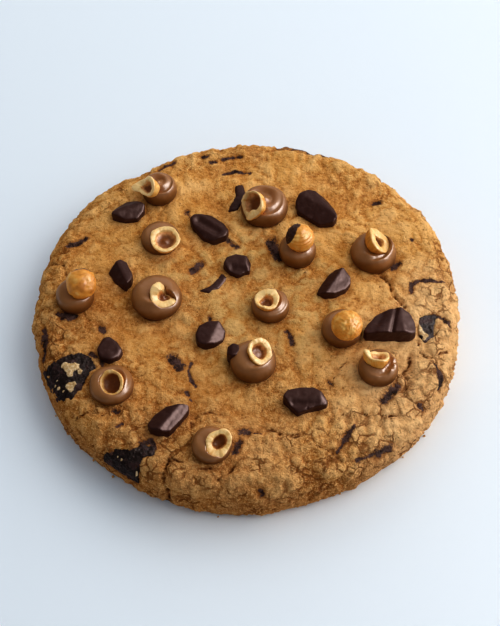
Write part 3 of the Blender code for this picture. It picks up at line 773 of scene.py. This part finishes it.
# Crumbs stuck on the chunks: place about the dough's middle, and spread
LODGED = (
    (-82.4, -36.6, 1.5), (-80.2, -38.4, 2.3), (-77.2, -37.6, 1.9), (-79.4, -41.4, 1.3),
    (-75.0, -40.4, 1.2), (-79.8, -46.8, 1.7), (-77.6, -46.4, 1.4), (-78.6, -49.0, 1.1),
    (-86.2, -45.0, 0.6), (-84.6, -46.6, 0.8), (-85.6, -43.0, 0.5), (-82.4, -48.6, 0.6),
    (-79.8, -53.0, 0.6), (-54.8, -81.4, 0.5), (-56.4, -80.0, 0.4), (-48.1, -87.0, 0.6),
    (77.8, -14.2, 1.0), (78.6, -16.6, 1.5), (79.4, -19.2, 1.5), (81.6, -20.6, 1.3),
    (80.6, -22.4, 0.8),
)

baked_look, sockets, start = new_look("baked_chocolate", 0.55, 0.25)
place = object_place(start)
flaking = mottle(place, FLAKE_SIZE, 4.0, 0.65)
clumps = mottle(place, CLUMP_SIZE, 2.0)
lodged = painted(start, "lodged") + (flaking - 0.5) * 0.8
colour = blend(step(flaking + clumps * 0.5, 0.72, 0.98), BAKED_BLACK, BAKED_GREY)
colour = blend(step(clumps, 0.52, 0.62) * 0.8, colour, BAKED_PURPLE)
crumb_colour = blend(step(flaking, 0.42, 0.62), CRUMB_TAN, CRUMB_PALE)
join(start, blend(step(lodged, 0.38, 0.58), colour, crumb_colour), sockets["Base Color"])
join(start, bumped(flaking + mottle(place, GRIT_SIZE, 2.0) * 0.5, 0.9, 0.6), sockets["Normal"])

for number in range(1, BAKED_COUNT + 1):
    node = f"baked_in_chunk_{number}"
    shape = remeshed(copy_of(node), BAKED_VOXEL)
    fresh = number >= FRESH_FROM
    waves_share, stands = (FRESH_WAVES_SHARE, FRESH_STANDS) if fresh else (1.0, BAKED_STANDS)
    soften(shape, shape.verts, FRESH_SOFTENING if fresh else 0)
    shape.normal_update()
    places = np.array([vert.co for vert in shape.verts])
    places[:, :2] -= own_middle
    lodged_crumbs = np.clip(hills(places, [(x, y, spread, 1.0) for x, y, spread in LODGED]), 0, 1)
    for vert, crumbs_here in zip(shape.verts, lodged_crumbs):
        vert.co += vert.normal * (unevenness(vert.co, BAKED_WAVES) * waves_share + stands)
        vert.co.z += CRUMB_STANDS * crumbs_here * max(0.0, vert.normal.z)
    finish(f"sunken_chunk_{number}", shape, chocolate_look if fresh else baked_look,
           [node], (("lodged", lodged_crumbs),))

# The hazelnuts
# Roasted kernels rubbed out of their skins. Most split into halves with a cream
# rim round a browned hollow, and some halves broke unevenly when they were split.
NUT_GOLD = (0.80, 0.345, 0.055, 1)
NUT_PALE = (0.93, 0.56, 0.165, 1)
NUT_CREAM = (0.98, 0.67, 0.30, 1)
NUT_CUT_SHADE = (0.86, 0.50, 0.16, 1)
NUT_HOLLOW = (0.64, 0.28, 0.070, 1)
NUT_PINK = (0.90, 0.48, 0.20, 1)
NUT_DEEP = (0.26, 0.090, 0.020, 1)
NUT_ROAST = (0.56, 0.20, 0.026, 1)
NUT_SKIN = (0.070, 0.026, 0.016, 1)
NUT_GRAIN_SIZE, NUT_FINE_SIZE = 2.2, 0.6
DOLLOP_COUNT = 13
DOLLOP_SUNK = 1.6
NUT_SIDES = 112
NUT_STEPS = 56
CURVE_PARTS = 12
# Shares of the way along a half nut's skin where its outside and its rim end
OUTSIDE_ENDS, RIM_ENDS = 0.42, 0.56
# A split rim runs in and out and up and down, by long waves and by small chips:
# how often these come round it, and how far they move it
RAG_RATE, CHIP_RATE, INNER_RATE, STREAK_RATE = 1.6, 6.0, 2.4, 5.5
OUTER_RAG, OUTER_CHIP = 0.25, 0.10
INNER_RAG = 0.30
HEIGHT_RAG, HEIGHT_CHIP = 0.35, 0.18
THINNEST_RIM = 0.9
RIM_ROUND, RIM_SKEW, RIM_FALL = 0.35, 0.7, 0.25
KNOB_SPREAD = 1.3
# How full the back and the hollow of a half are: 0.5 is quite round
BACK_FULL, HOLLOW_FULL = 0.55, 0.65
# Uneven skin: the size of its waves, and how far they move it. They come from
# noise that starts at a random place, so its draw is seeded
SKIN_WAVES = ((2.2, 0.18), (0.9, 0.07))
SKIN_SEED = 7
# A whole kernel is a little narrower towards its top, taller than wide and pointed
NUT_NARROWS, NUT_TALL, NUT_POINT = 0.07, 1.04, 0.05
NUT_LUMP_SIZE, NUT_WRINKLE_SIZE = 3.4, 1.7
LUMP_RISE = 1.4
BAND_RATE, BAND_SWAY = 4.2, 1.5
# Waves and pores of the whole kernel: size and height
NUT_WAVE, NUT_PORES = (6, 0.25), (0.8, 0.05)

# Each half nut: the place of its split face over the middle of its dollop's seat;
# tilt and facing; a shift in that face; radii of the rim's outer and inner edges
# and the rim's height at every 30 degrees; depth, hollow's depth, knob and roast
HALF_NUTS = {
    1: ((-7.5, -2.0, 7.5), 28, 195, (-1.6, 1.6),
        (4.6, 4.0, 4.2, 5.6, 7.0, 7.0, 5.8, 4.9, 4.5, 5.2, 7.0, 8.6),
        (2.2, 2.0, 2.3, 3.4, 4.8, 5.0, 3.6, 2.6, 1.9, 2.0, 3.0, 3.6),
        (0, 0, 0, 0.2, 2.0, 4.3, 4.5, 3.8, 2.2, 0.8, 0, 0.6), 5.0, 1.3, 0.0, 0.05),
    2: ((2.5, -3.0, 6.9), 4, -90, (0.9, 0.0),
        (7.5, 7.2, 7.0, 7.3, 7.1, 7.1, 7.0, 7.3, 7.3, 7.0, 6.9, 7.1),
        (5.4, 5.3, 5.4, 5.5, 5.2, 5.0, 4.8, 4.8, 4.7, 4.7, 4.8, 5.1),
        (0,) * 12, 5.6, 3.0, 1.3, 0.3),
    4: ((3.5, -1.0, 7.4), 10, -60, (0.5, -0.5),
        (6.6, 6.6, 5.4, 4.4, 4.4, 5.0, 5.8, 6.0, 6.2, 6.4, 6.6, 6.8),
        (3.2, 3.6, 3.0, 2.6, 2.2, 1.6, 1.4, 1.5, 2.2, 3.0, 3.2, 3.1),
        (0, -0.3, -3.0, -4.0, -3.8, 0.0, 2.6, 3.2, 2.4, 0.6, 0, 0), 5.2, 3.0, 1.1, 0.2),
    5: ((-0.5, -0.5, 6.0), 28, 225, (0.1, 1.1),
        (5.9, 5.8, 6.2, 6.2, 6.0, 5.9, 5.7, 5.9, 6.2, 6.1, 5.9, 5.9),
        (4.8, 4.6, 4.8, 4.7, 4.4, 4.3, 4.4, 4.5, 4.8, 4.9, 4.9, 4.8),
        (-0.6, -0.2, 0, 0, 0, 0.2, 0.2, 0, 0, 0, -0.3, -0.8), 5.7, 4.6, 0.0, 1.0),
    6: ((3.0, -1.5, 7.5), 32, -85, (0.6, 0.2),
        (6.2, 5.4, 5.1, 5.7, 6.6, 6.9, 5.7, 5.6, 5.7, 5.6, 6.2, 6.7),
        (2.8, 2.7, 2.8, 3.5, 4.2, 4.4, 3.4, 3.0, 2.8, 2.9, 3.0, 2.9),
        (0, 0.2, 0, -0.2, 0.2, 0.4, 0.2, 0, 0.2, 0, -0.2, 0.1), 5.8, 4.0, 0.0, 0.55),
    7: ((-7.0, -2.5, 7.4), 60, 200, (-1.0, 1.2),
        (7.8, 7.6, 7.1, 7.3, 8.4, 8.4, 7.8, 7.0, 6.9, 7.8, 8.3, 8.0),
        (5.4, 3.6, 2.7, 3.0, 5.2, 6.5, 6.4, 5.9, 6.0, 6.8, 7.3, 7.0),
        (0, 0.4, 0.6, 0.4, 0, 0, 0, 0, 0, 0, 0, 0), 6.2, 4.2, 0.0, 0.3),
    9: ((1.5, 2.5, 10.7), 45, 10, (1.0, -0.5),
        (7.0, 7.5, 6.9, 6.7, 7.0, 6.8, 6.9, 7.3, 7.6, 7.0, 6.8, 6.6),
        (3.0, 2.7, 2.3, 2.2, 2.4, 3.4, 3.1, 3.2, 3.4, 3.7, 3.4, 3.1),
        (0.8, 0.4, 0, 0, 0, 0.4, 0.8, 0.4, 0, 0, 0, 0.4), 6.8, 3.8, 0.0, 0.95),
    10: ((-2.0, 0.5, 8.5), 5, 80, (-1.1, -0.6),
         (5.3, 5.3, 5.7, 5.8, 5.6, 5.4, 5.5, 6.0, 5.5, 5.4, 5.7, 5.8),
         (2.2, 2.3, 2.3, 2.8, 3.7, 3.9, 3.8, 3.8, 3.3, 3.2, 2.7, 2.2),
         (1.4, 1.0, 0.2, -0.4, 0, 0, 0.3, 0, -0.5, 0.5, 1.2, 1.7), 5.5, 2.8, 0.6, 0.3),
    12: ((-2.0, 0.5, 10.6), 36, 90, (1.8, -1.5),
         (5.6, 5.0, 4.8, 6.6, 5.0, 4.9, 5.2, 5.8, 5.3, 5.1, 5.5, 5.6),
         (3.4, 3.2, 3.2, 3.7, 3.5, 3.4, 3.6, 3.5, 3.6, 3.7, 4.0, 3.8),
         (0, 0.2, 0.8, 3.0, 0.3, 0, 0, -0.2, 0, 0.3, 0, 0), 6.0, 3.4, 0.0, 0.35),
    13: ((2.2, 1.1, 10.4), 28, -30, (1.3, 0.2),
         (5.9, 5.9, 5.8, 6.2, 6.2, 6.2, 6.4, 5.9, 5.5, 5.8, 6.4, 6.2),
         (3.2, 3.3, 3.3, 3.4, 3.8, 3.9, 4.1, 4.0, 3.2, 3.0, 3.5, 3.5),
         (0, 0, 0.2, 0.6, 1.4, 1.0, 0.4, 0, -0.2, 0, 0.3, 0.2), 6.4, 3.2, 0.5, 0.45),
}
# Each whole nut: the place of its middle over the middle of its dollop's seat;
# tilt and facing, breadth, knobs, bands and wrinkles on its face, its roast, and
# the directions in which brown skin still clings to it
WHOLE_NUTS = {
    3: ((4.0, 0.5, 12.2), 30, 20, 13.6, 0.55, 0.0, 0.08, 0.95, ((85, 18, 0.75),)),
    8: ((1.0, 0.5, 12.0), 10, 140, 13.0, 0.15, 0.15, 0.08, 0.55, ((165, 25, 0.95), (135, 60, 0.40))),
    11: ((1.7, -4.2, 11.6), 25, -60, 13.8, 0.15, 0.0, 0.36, 0.6, ()),
}

nut_look, sockets, start = new_look("roasted_hazelnut", 0.46, 0.4)
place = object_place(start)
split = painted(start, "split")
roast = painted(start, "roast")
streak = painted(start, "streak")
grain = mottle(place, NUT_GRAIN_SIZE, 4.0, 0.6)
fine_grain = mottle(place, NUT_FINE_SIZE, 3.0, 0.6)
skin = blend(step(grain + roast * 0.6 + streak * 0.35, 0.35, 0.85), NUT_PALE, NUT_GOLD)
skin = blend(step(roast * 0.7 + grain * 0.6 + streak * 0.8, 0.72, 1.30) * 0.8, skin, NUT_ROAST)
cream = blend(step(grain + streak * 0.2 + roast * 0.3, 0.50, 0.90), NUT_CREAM, NUT_CUT_SHADE)
hollow = blend(step(grain + fine_grain * 0.3, 0.5, 0.85), NUT_PINK, NUT_HOLLOW)
hollow = blend(step(split + roast * 0.65 + grain * 0.4 - 0.2, 1.8, 2.4), hollow, NUT_DEEP)
cut = split + (grain - 0.5) * 0.3
cream = blend(1 - step(cut, 0.50, 0.85), cream, NUT_GOLD)
colour = blend(step(cut, 0.42, 0.62), skin, cream)
colour = blend(step(cut, 1.28, 1.62), colour, hollow)
colour = blend(step(painted(start, "husk") + (grain - 0.5) * 0.6, 0.4, 0.6), colour, NUT_SKIN)
join(start, blend(step(fine_grain, 0.55, 0.8) * 0.35, colour, NUT_GOLD), sockets["Base Color"])
join(start, 0.34 + grain * 0.3, sockets["Roughness"])
join(start, bumped(grain * 0.6 + fine_grain * 0.4, 0.4, 0.5), sockets["Normal"])


def turned(points, sides):
    """A turned skin from a profile of (radius, height) points."""
    shape = bmesh.new()
    verts = [shape.verts.new((radius, 0.0, height)) for radius, height in points]
    edges = [shape.edges.new(pair) for pair in zip(verts, verts[1:])]
    bmesh.ops.spin(shape, geom=verts + edges, cent=(0, 0, 0), axis=(0, 0, 1),
                   angle=math.tau, steps=sides, use_merge=True)
    bmesh.ops.remove_doubles(shape, verts=shape.verts, dist=0.0005)
    bmesh.ops.recalc_face_normals(shape, faces=shape.faces)
    return shape


def smooth_between(before, first, second, after, t):
    """Share `t` of the way from the first to the second of four even knots."""
    return (2 * first + (second - before) * t + (2 * before - 5 * first + 4 * second - after) * t ** 2
            + (3 * first - before - 3 * second + after) * t ** 3) / 2


def even_curve(points, count):
    """Points spaced evenly along a smooth curve through the ones given."""
    knots = [Vector(point) for point in points]
    dense = []
    padded = [knots[0]] + knots + [knots[-1]]
    for four in zip(padded, padded[1:], padded[2:], padded[3:]):
        dense += [smooth_between(*four, part / CURVE_PARTS) for part in range(CURVE_PARTS)]
    dense.append(knots[-1])
    lengths = np.cumsum([0] + [(b - a).length for a, b in zip(dense, dense[1:])])
    wanted = np.linspace(0, lengths[-1], count)
    return list(zip(*(np.interp(wanted, lengths, values) for values in zip(*dense))))


def around(values, turn):
    """A value given at even steps round a circle, smooth between them."""
    place = turn / math.tau % 1.0 * len(values)
    index = int(place)
    four = (values[(index + way) % len(values)] for way in (-1, 0, 1, 2))
    return smooth_between(*four, place - index)


def soft(value, low_edge, high_edge):
    """The same smooth step as `rise`, for a single number."""
    share = min(1.0, max(0.0, (value - low_edge) / (high_edge - low_edge)))
    return share * share * (3 - 2 * share)


def angle_gap(first, second):
    """The turn from one direction to another, by the shorter way."""
    return math.remainder(first - second, math.tau)


def lean(tilt, facing):
    """The turn that leans a nut by its tilt towards the way it faces."""
    return Matrix.Rotation(math.radians(facing), 4, "Z") @ Matrix.Rotation(math.radians(tilt), 4, "Y")


def skin_tube(steps, sides):
    """A closed tube whose height is the share of the way along a nut's skin."""
    return turned([(0.0, 0.0)] + [(1.0, step / steps) for step in range(1, steps)] + [(0.0, 1.0)], sides)


def dollop_seat(number):
    """Where the middle of a dollop stands on the dough."""
    low, high = (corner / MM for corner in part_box(f"spread_dollop_{number:02}"))
    return Vector(((low.x + high.x) / 2, (low.y + high.y) / 2, low.z + DOLLOP_SUNK))


def half_nut(nut, seed):
    """A half kernel: its skin from the back, over the rim and down into the hollow."""
    place, tilt, facing, shift, outers, inners, heights, depth, bowl, knob, roast_amount = nut
    shape = skin_tube(NUT_STEPS, NUT_SIDES)
    paint = {"split": [], "roast": [], "streak": [], "husk": []}
    for vert in shape.verts:
        share = vert.co.z
        turn = math.atan2(vert.co.y, vert.co.x)
        way = Vector((math.cos(turn), math.sin(turn), 0))
        rag = noise.noise(way * RAG_RATE + seed)
        chip = noise.noise(way * CHIP_RATE + seed)
        outer = around(outers, turn) + OUTER_RAG * rag + OUTER_CHIP * chip
        inner = around(inners, turn) + INNER_RAG * noise.noise(way * INNER_RATE - seed)
        height = around(heights, turn) + HEIGHT_RAG * rag + HEIGHT_CHIP * chip
        edge = outer * math.sqrt(max(0.05, 1 - (min(0.0, height) / depth) ** 2))
        inner = min(inner, edge - THINNEST_RIM)
        if share < OUTSIDE_ENDS:
            z = -depth + (height + depth) * (1 - math.cos(share / OUTSIDE_ENDS * math.pi / 2))
            out = outer * max(0.0, 1 - (min(0.0, z) / depth) ** 2) ** BACK_FULL
        elif share < RIM_ENDS:
            across = (share - OUTSIDE_ENDS) / (RIM_ENDS - OUTSIDE_ENDS)
            out = edge + (inner - edge) * across
            z = height + RIM_ROUND * math.sin(math.pi * across ** RIM_SKEW) - RIM_FALL * across
        else:
            down = (share - RIM_ENDS) / (1 - RIM_ENDS)
            out = inner * math.cos(down * math.pi / 2) ** HOLLOW_FULL
            z = height - RIM_FALL - (bowl + height - RIM_FALL) * math.sin(down * math.pi / 2)
            z += knob * math.exp(-((out / KNOB_SPREAD) ** 2))
        streak = noise.noise(way * STREAK_RATE + seed + Vector((0, 0, share * 3)))
        vert.co = way * out + Vector((shift[0], shift[1], z))
        for size, amount in SKIN_WAVES:
            vert.co += Vector(noise.noise_vector(vert.co / size + seed)) * amount
        if share in (0.0, 1.0):
            streak = 0.0
        at_rim = soft(share, OUTSIDE_ENDS - 0.05, OUTSIDE_ENDS + 0.01)
        in_hollow = soft(share, RIM_ENDS - 0.02, 1.0)
        paint["split"].append(at_rim + in_hollow + 0.35 * soft(share, RIM_ENDS, RIM_ENDS + 0.1))
        paint["roast"].append(roast_amount)
        paint["streak"].append(streak)
        paint["husk"].append(0.0)
    return shape, lean(tilt, facing), place, paint


def whole_nut(nut, seed):
    """A whole kernel, round with a slight point, with the skin that clings to it."""
    place, tilt, facing, breadth, knobs, bands, wrinkles, roast_amount, husks = nut
    radius = breadth / 2
    shape = skin_tube(NUT_STEPS, NUT_SIDES)
    turn_back = lean(tilt, facing)
    paint = {"split": [], "roast": [], "streak": [], "husk": []}
    directions = []
    for azimuth, elevation, spread in husks:
        across, above = math.radians(azimuth), math.radians(elevation)
        flat = math.cos(above)
        way_off = Vector((flat * math.cos(across), flat * math.sin(across), math.sin(above)))
        directions.append((way_off, spread))
    for vert in shape.verts:
        share = vert.co.z
        turn = math.atan2(vert.co.y, vert.co.x)
        way = Vector((math.cos(turn), math.sin(turn), 0))
        up = -math.cos(share * math.pi)
        out = radius * math.sin(share * math.pi) * (1 - NUT_NARROWS * max(0.0, up))
        spot = way * out
        spot += Vector((0, 0, radius * (NUT_TALL * up + NUT_POINT * max(0.0, up) ** 6)))
        away = spot.normalized()
        lump = noise.noise(spot / NUT_LUMP_SIZE + seed)
        ridge = 1 - 2 * abs(noise.noise(spot / NUT_WRINKLE_SIZE - seed))
        bulge = NUT_WAVE[1] * noise.noise(spot / NUT_WAVE[0] + seed)
        bulge += knobs * abs(lump) * LUMP_RISE
        bulge += bands * math.sin(spot.z * BAND_RATE + BAND_SWAY * lump)
        bulge += wrinkles * (ridge - 0.5)
        bulge += NUT_PORES[1] * noise.noise(spot / NUT_PORES[0])
        spot += away * bulge
        vert.co = spot
        world = (turn_back @ away).normalized()
        paint["split"].append(0.0)
        paint["roast"].append(roast_amount * (0.75 + 0.9 * lump))
        paint["streak"].append(0.6 * noise.noise(way * 4 + seed + Vector((0, 0, share * 2))))
        clings = [soft(world.dot(way_off), math.cos(spread) - 0.04, math.cos(spread) + 0.06)
                  for way_off, spread in directions]
        paint["husk"].append(max(clings, default=0.0))
    return shape, turn_back, place, paint


noise.seed_set(SKIN_SEED)
nut_trees = {}
for number in range(1, DOLLOP_COUNT + 1):
    seed = Vector((number * 3.7, number * 1.3, number * 0.9))
    maker = half_nut if number in HALF_NUTS else whole_nut
    shape, turn_to, offset, paint = maker({**HALF_NUTS, **WHOLE_NUTS}[number], seed)
    moved = Matrix.Translation(dollop_seat(number) + Vector(offset))
    bmesh.ops.transform(shape, matrix=moved @ turn_to, verts=shape.verts)
    nut_trees[number] = BVHTree.FromBMesh(shape)
    finish(f"roasted_nut_{number:02}", shape, nut_look, [f"hazelnut_{number:02}"],
           tuple(paint.items()))

# The spread
# Chocolate-hazelnut spread, piped warm in small coiled buttons. It is smooth and
# softly glossy, closes round the nut pushed into it and rises beside it in a lip.
SPREAD_BROWN = (0.225, 0.086, 0.015, 1)
SPREAD_LIT_TOP = (0.36, 0.160, 0.052, 1)
SPREAD_FOOT_SHADE = (0.140, 0.045, 0.004, 1)
STREAK_SIZE, RIPPLED_SIZE = 6.0, 2.2
DOLLOP_SIDES = 112
DOLLOP_STEPS = 66
# Side of a dollop from its foot to its crown: share of its radius, and of its height
DOLLOP_SIDE = ((0.93, 0.0), (0.985, 0.10), (1.0, 0.24), (0.995, 0.38), (0.97, 0.52), (0.915, 0.68),
               (0.83, 0.80), (0.72, 0.90), (0.58, 0.96), (0.44, 0.99), (0.3, 1.0))
# Turns of the swirl on the two bare crowns, and the way each one starts
SWIRLS = {1: (1.3, 150), 7: (1.4, 60)}
SWIRL_DEPTH = 2.0
# Share of the height from which the swirl runs, and where it is at its deepest
SWIRL_FROM, SWIRL_FULL = 0.8, 0.97
# How deep the spread dips behind a lip, and how many widths behind its crest
LIP_DIP, LIP_DIP_BEHIND = 0.5, 1.7
# Lips of spread beside the nuts: the way they face, half their width in degrees,
# their crest's share of the dollop's radius, their rise, width and raggedness
LIPS = {
    1: ((-60, 100, 0.80, 0.9, 1.5, 0.1),),
    3: ((-70, 80, 0.90, 0.6, 1.6, 0.0),),
    4: ((-60, 75, 0.62, 1.1, 1.3, 0.0),),
    5: ((5, 55, 0.68, 1.5, 1.4, 0.0), (-60, 50, 0.85, 0.5, 1.6, 0.0)),
    6: ((-40, 45, 0.80, 1.0, 1.3, 0.1),),
    7: ((-40, 90, 0.84, 0.8, 1.6, 0.1),),
    8: ((-30, 60, 0.72, 0.5, 1.4, 0.0), (-110, 50, 0.93, 0.6, 1.4, 0.1)),
    9: ((-30, 70, 0.80, 1.9, 1.2, 0.1), (-75, 30, 0.94, 1.2, 1.4, 0.2),
        (-100, 40, 0.6, 0.8, 1.2, 0.0)),
    10: ((-15, 80, 0.62, 0.9, 0.9, 0.0), (-20, 90, 0.90, 0.7, 1.0, 0.0)),
    12: ((-15, 45, 0.78, 1.6, 1.4, 0.8), (-80, 60, 0.88, 0.9, 1.4, 0.3)),
    13: ((-40, 60, 0.74, 1.2, 1.3, 0.0),),
}
# Slow and quick waves of the whole dollop: size and height
SLOW_WAVE, QUICK_WAVE = (6, 0.35), (2.1, 0.08)
# A nut presses the spread down to just below its own underside, but its foot, up
# to some height over the seat, stays as it was piped
PRESSED_BELOW = 0.1
FOOT_KEPT, SMOOTHED_FROM = 0.2, 0.3
# How far under the seat the line starts that feels for the nut's underside
FEELER_BELOW = 30

spread_look, sockets, start = new_look("chocolate_spread", 0.4, 0.55)
place = object_place(start)
streaks = mottle(place, STREAK_SIZE, 2.0)
climb = painted(start, "climb")
# Painted light on the upper part of each dollop, in uneven streaks, and painted shade darkening its foot
colour = blend(step(climb + (streaks - 0.5) * 0.7, 0.25, 0.95), SPREAD_BROWN, SPREAD_LIT_TOP)
join(start, blend((1 - step(climb, 0.05, 0.70)) * 0.9, colour, SPREAD_FOOT_SHADE), sockets["Base Color"])
join(start, 0.32 + streaks * 0.16, sockets["Roughness"])
join(start, bumped(mottle(place, RIPPLED_SIZE, 2.0), 0.08, 0.5), sockets["Normal"])

for number in range(1, DOLLOP_COUNT + 1):
    node = f"spread_dollop_{number:02}"
    low, high = (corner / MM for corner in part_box(node))
    seat = dollop_seat(number)
    radius = (high.x - low.x) / 2
    height = high.z - seat.z
    side = [(across * radius, up_share * height) for across, up_share in DOLLOP_SIDE]
    foot = (side[0][0], -DOLLOP_SUNK)
    profile = even_curve([foot] + side + [(0.0, height)], DOLLOP_STEPS)
    shape = turned([(0.0, -DOLLOP_SUNK)] + profile, DOLLOP_SIDES)
    shape.normal_update()
    turns, starts_at = SWIRLS.get(number, (0, 0))
    for vert in shape.verts:
        turn = math.atan2(vert.co.y, vert.co.x)
        out = math.hypot(vert.co.x, vert.co.y)
        climb = vert.co.z / height
        if turns and climb > SWIRL_FROM:
            lap = (turn - math.radians(starts_at)) / math.tau
            wave = 0.5 - 0.5 * math.cos(math.tau * (turns * out / radius - lap))
            fade = min(1.0, 3 * out / radius)
            vert.co.z -= SWIRL_DEPTH * wave * fade * soft(climb, SWIRL_FROM, SWIRL_FULL)
        for faces, half_width, crest, lip, width, ragged in LIPS.get(number, ()):
            gap = math.degrees(angle_gap(turn, math.radians(faces))) / half_width
            near = lip * math.exp(-(gap ** 4)) * soft(climb, 0.3, 0.7)
            near *= 1 + ragged * noise.noise(vert.co / 1.3)
            beside = (out - crest * radius) / width
            dip = LIP_DIP * math.exp(-((beside + LIP_DIP_BEHIND) ** 2))
            vert.co.z += near * (math.exp(-(beside ** 2)) - dip)
        slow = noise.noise(vert.co / SLOW_WAVE[0] + Vector((number * 7, 0, 0)))
        quick = noise.noise(vert.co / QUICK_WAVE[0])
        wobble = SLOW_WAVE[1] * slow * soft(climb, 0.0, 0.4)
        vert.co += vert.normal * (wobble + QUICK_WAVE[1] * quick * soft(climb, 0.1, 0.4))
    bmesh.ops.translate(shape, verts=shape.verts, vec=seat)
    for vert in shape.verts:
        if vert.co.z > seat.z + FOOT_KEPT:
            feeler = Vector((vert.co.x, vert.co.y, seat.z - FEELER_BELOW))
            under = nut_trees[number].ray_cast(feeler, Vector((0, 0, 1)))[0]
            if under and under.z - PRESSED_BELOW < vert.co.z:
                vert.co.z = max(under.z - PRESSED_BELOW, seat.z + FOOT_KEPT)
    soften(shape, [vert for vert in shape.verts if vert.co.z > seat.z + SMOOTHED_FROM])
    climbs = [(vert.co.z - seat.z) / height for vert in shape.verts]
    finish(f"piped_spread_{number:02}", shape, spread_look, [node],
           (("climb", climbs),))

# The crumbs
# Crumbs that broke off the crust: most lie beside the foot, some on the broken
# parts of the top, and two pale ones stick beside the third and eighth dollops.
BESIDE_COUNT = 40
BESIDE_SIZES = (0.5, 1.2)
BESIDE_GAPS = (0.6, 2.6)
# Crumbs on the top, in two kinds: their size and paleness, and their places
ON_TOP = (
    (0.9, 0.3, ((23, -57.5), (36, -75), (54, -55), (67, -34), (44, -40.5), (-16, -82), (-38, -80),
                (-44, -66), (12, -84), (48, -72), (72, -52), (-8, -74), (62, 6), (80, -22),
                (-27, -87), (-60, -62))),
    (1.3, 1.0, ((27.5, 14.0), (-80.0, 8.6))),
)
TOP_SIZE_CHANGE = (0.7, 1.2)
# A crumb's form: how uneven it is, the size of its lumps, and how much it is flattened
CRUMB_UNEVEN, CRUMB_LUMPS, CRUMB_FLAT = 0.55, 2.2, 0.8
# Height of a crumb's middle over what it lies on, as a share of its size
BESIDE_LIFT, TOP_LIFT = 0.35, 0.25
# A height above every topping, to drop the crumbs from
DROP_HEIGHT = 60

baked = cookie.evaluated_get(bpy.context.evaluated_depsgraph_get())
draw = random.Random(7)
crumbs = []
for number in range(BESIDE_COUNT):
    turn = draw.uniform(0, math.tau)
    size = draw.uniform(*BESIDE_SIZES)
    beside = outline_radius(np.array([turn]))[0] - FOOT_WIDTH + draw.uniform(*BESIDE_GAPS)
    x, y = own_middle + Vector((math.cos(turn), math.sin(turn))) * beside
    crumbs.append((x, y, BESIDE_LIFT * size, size, draw.uniform(0, 1)))
for size, paleness, spots in ON_TOP:
    for x, y in spots:
        x, y = x + own_middle.x, y + own_middle.y
        top = baked.ray_cast(Vector((x, y, DROP_HEIGHT)) * MM, Vector((0, 0, -1)))[1].z / MM
        grown = size * draw.uniform(*TOP_SIZE_CHANGE)
        crumbs.append((x, y, top + TOP_LIFT * size, grown, paleness))
shape = bmesh.new()
pale = []
for number, (x, y, z, size, paleness) in enumerate(crumbs):
    crumb = bmesh.ops.create_icosphere(shape, subdivisions=2, radius=size / 2)["verts"]
    for vert in crumb:
        lumps = noise.noise(vert.co / size * CRUMB_LUMPS + Vector((number * 5, 0, 0)))
        vert.co *= 1 + CRUMB_UNEVEN * lumps
        vert.co.z *= CRUMB_FLAT
    bmesh.ops.translate(shape, verts=crumb, vec=(x, y, z))
    pale += [paleness] * len(crumb)
finish("loose_crumbs", shape, dough_look, (),
       (("pale", pale), ("rough", [1.0] * len(shape.verts))))
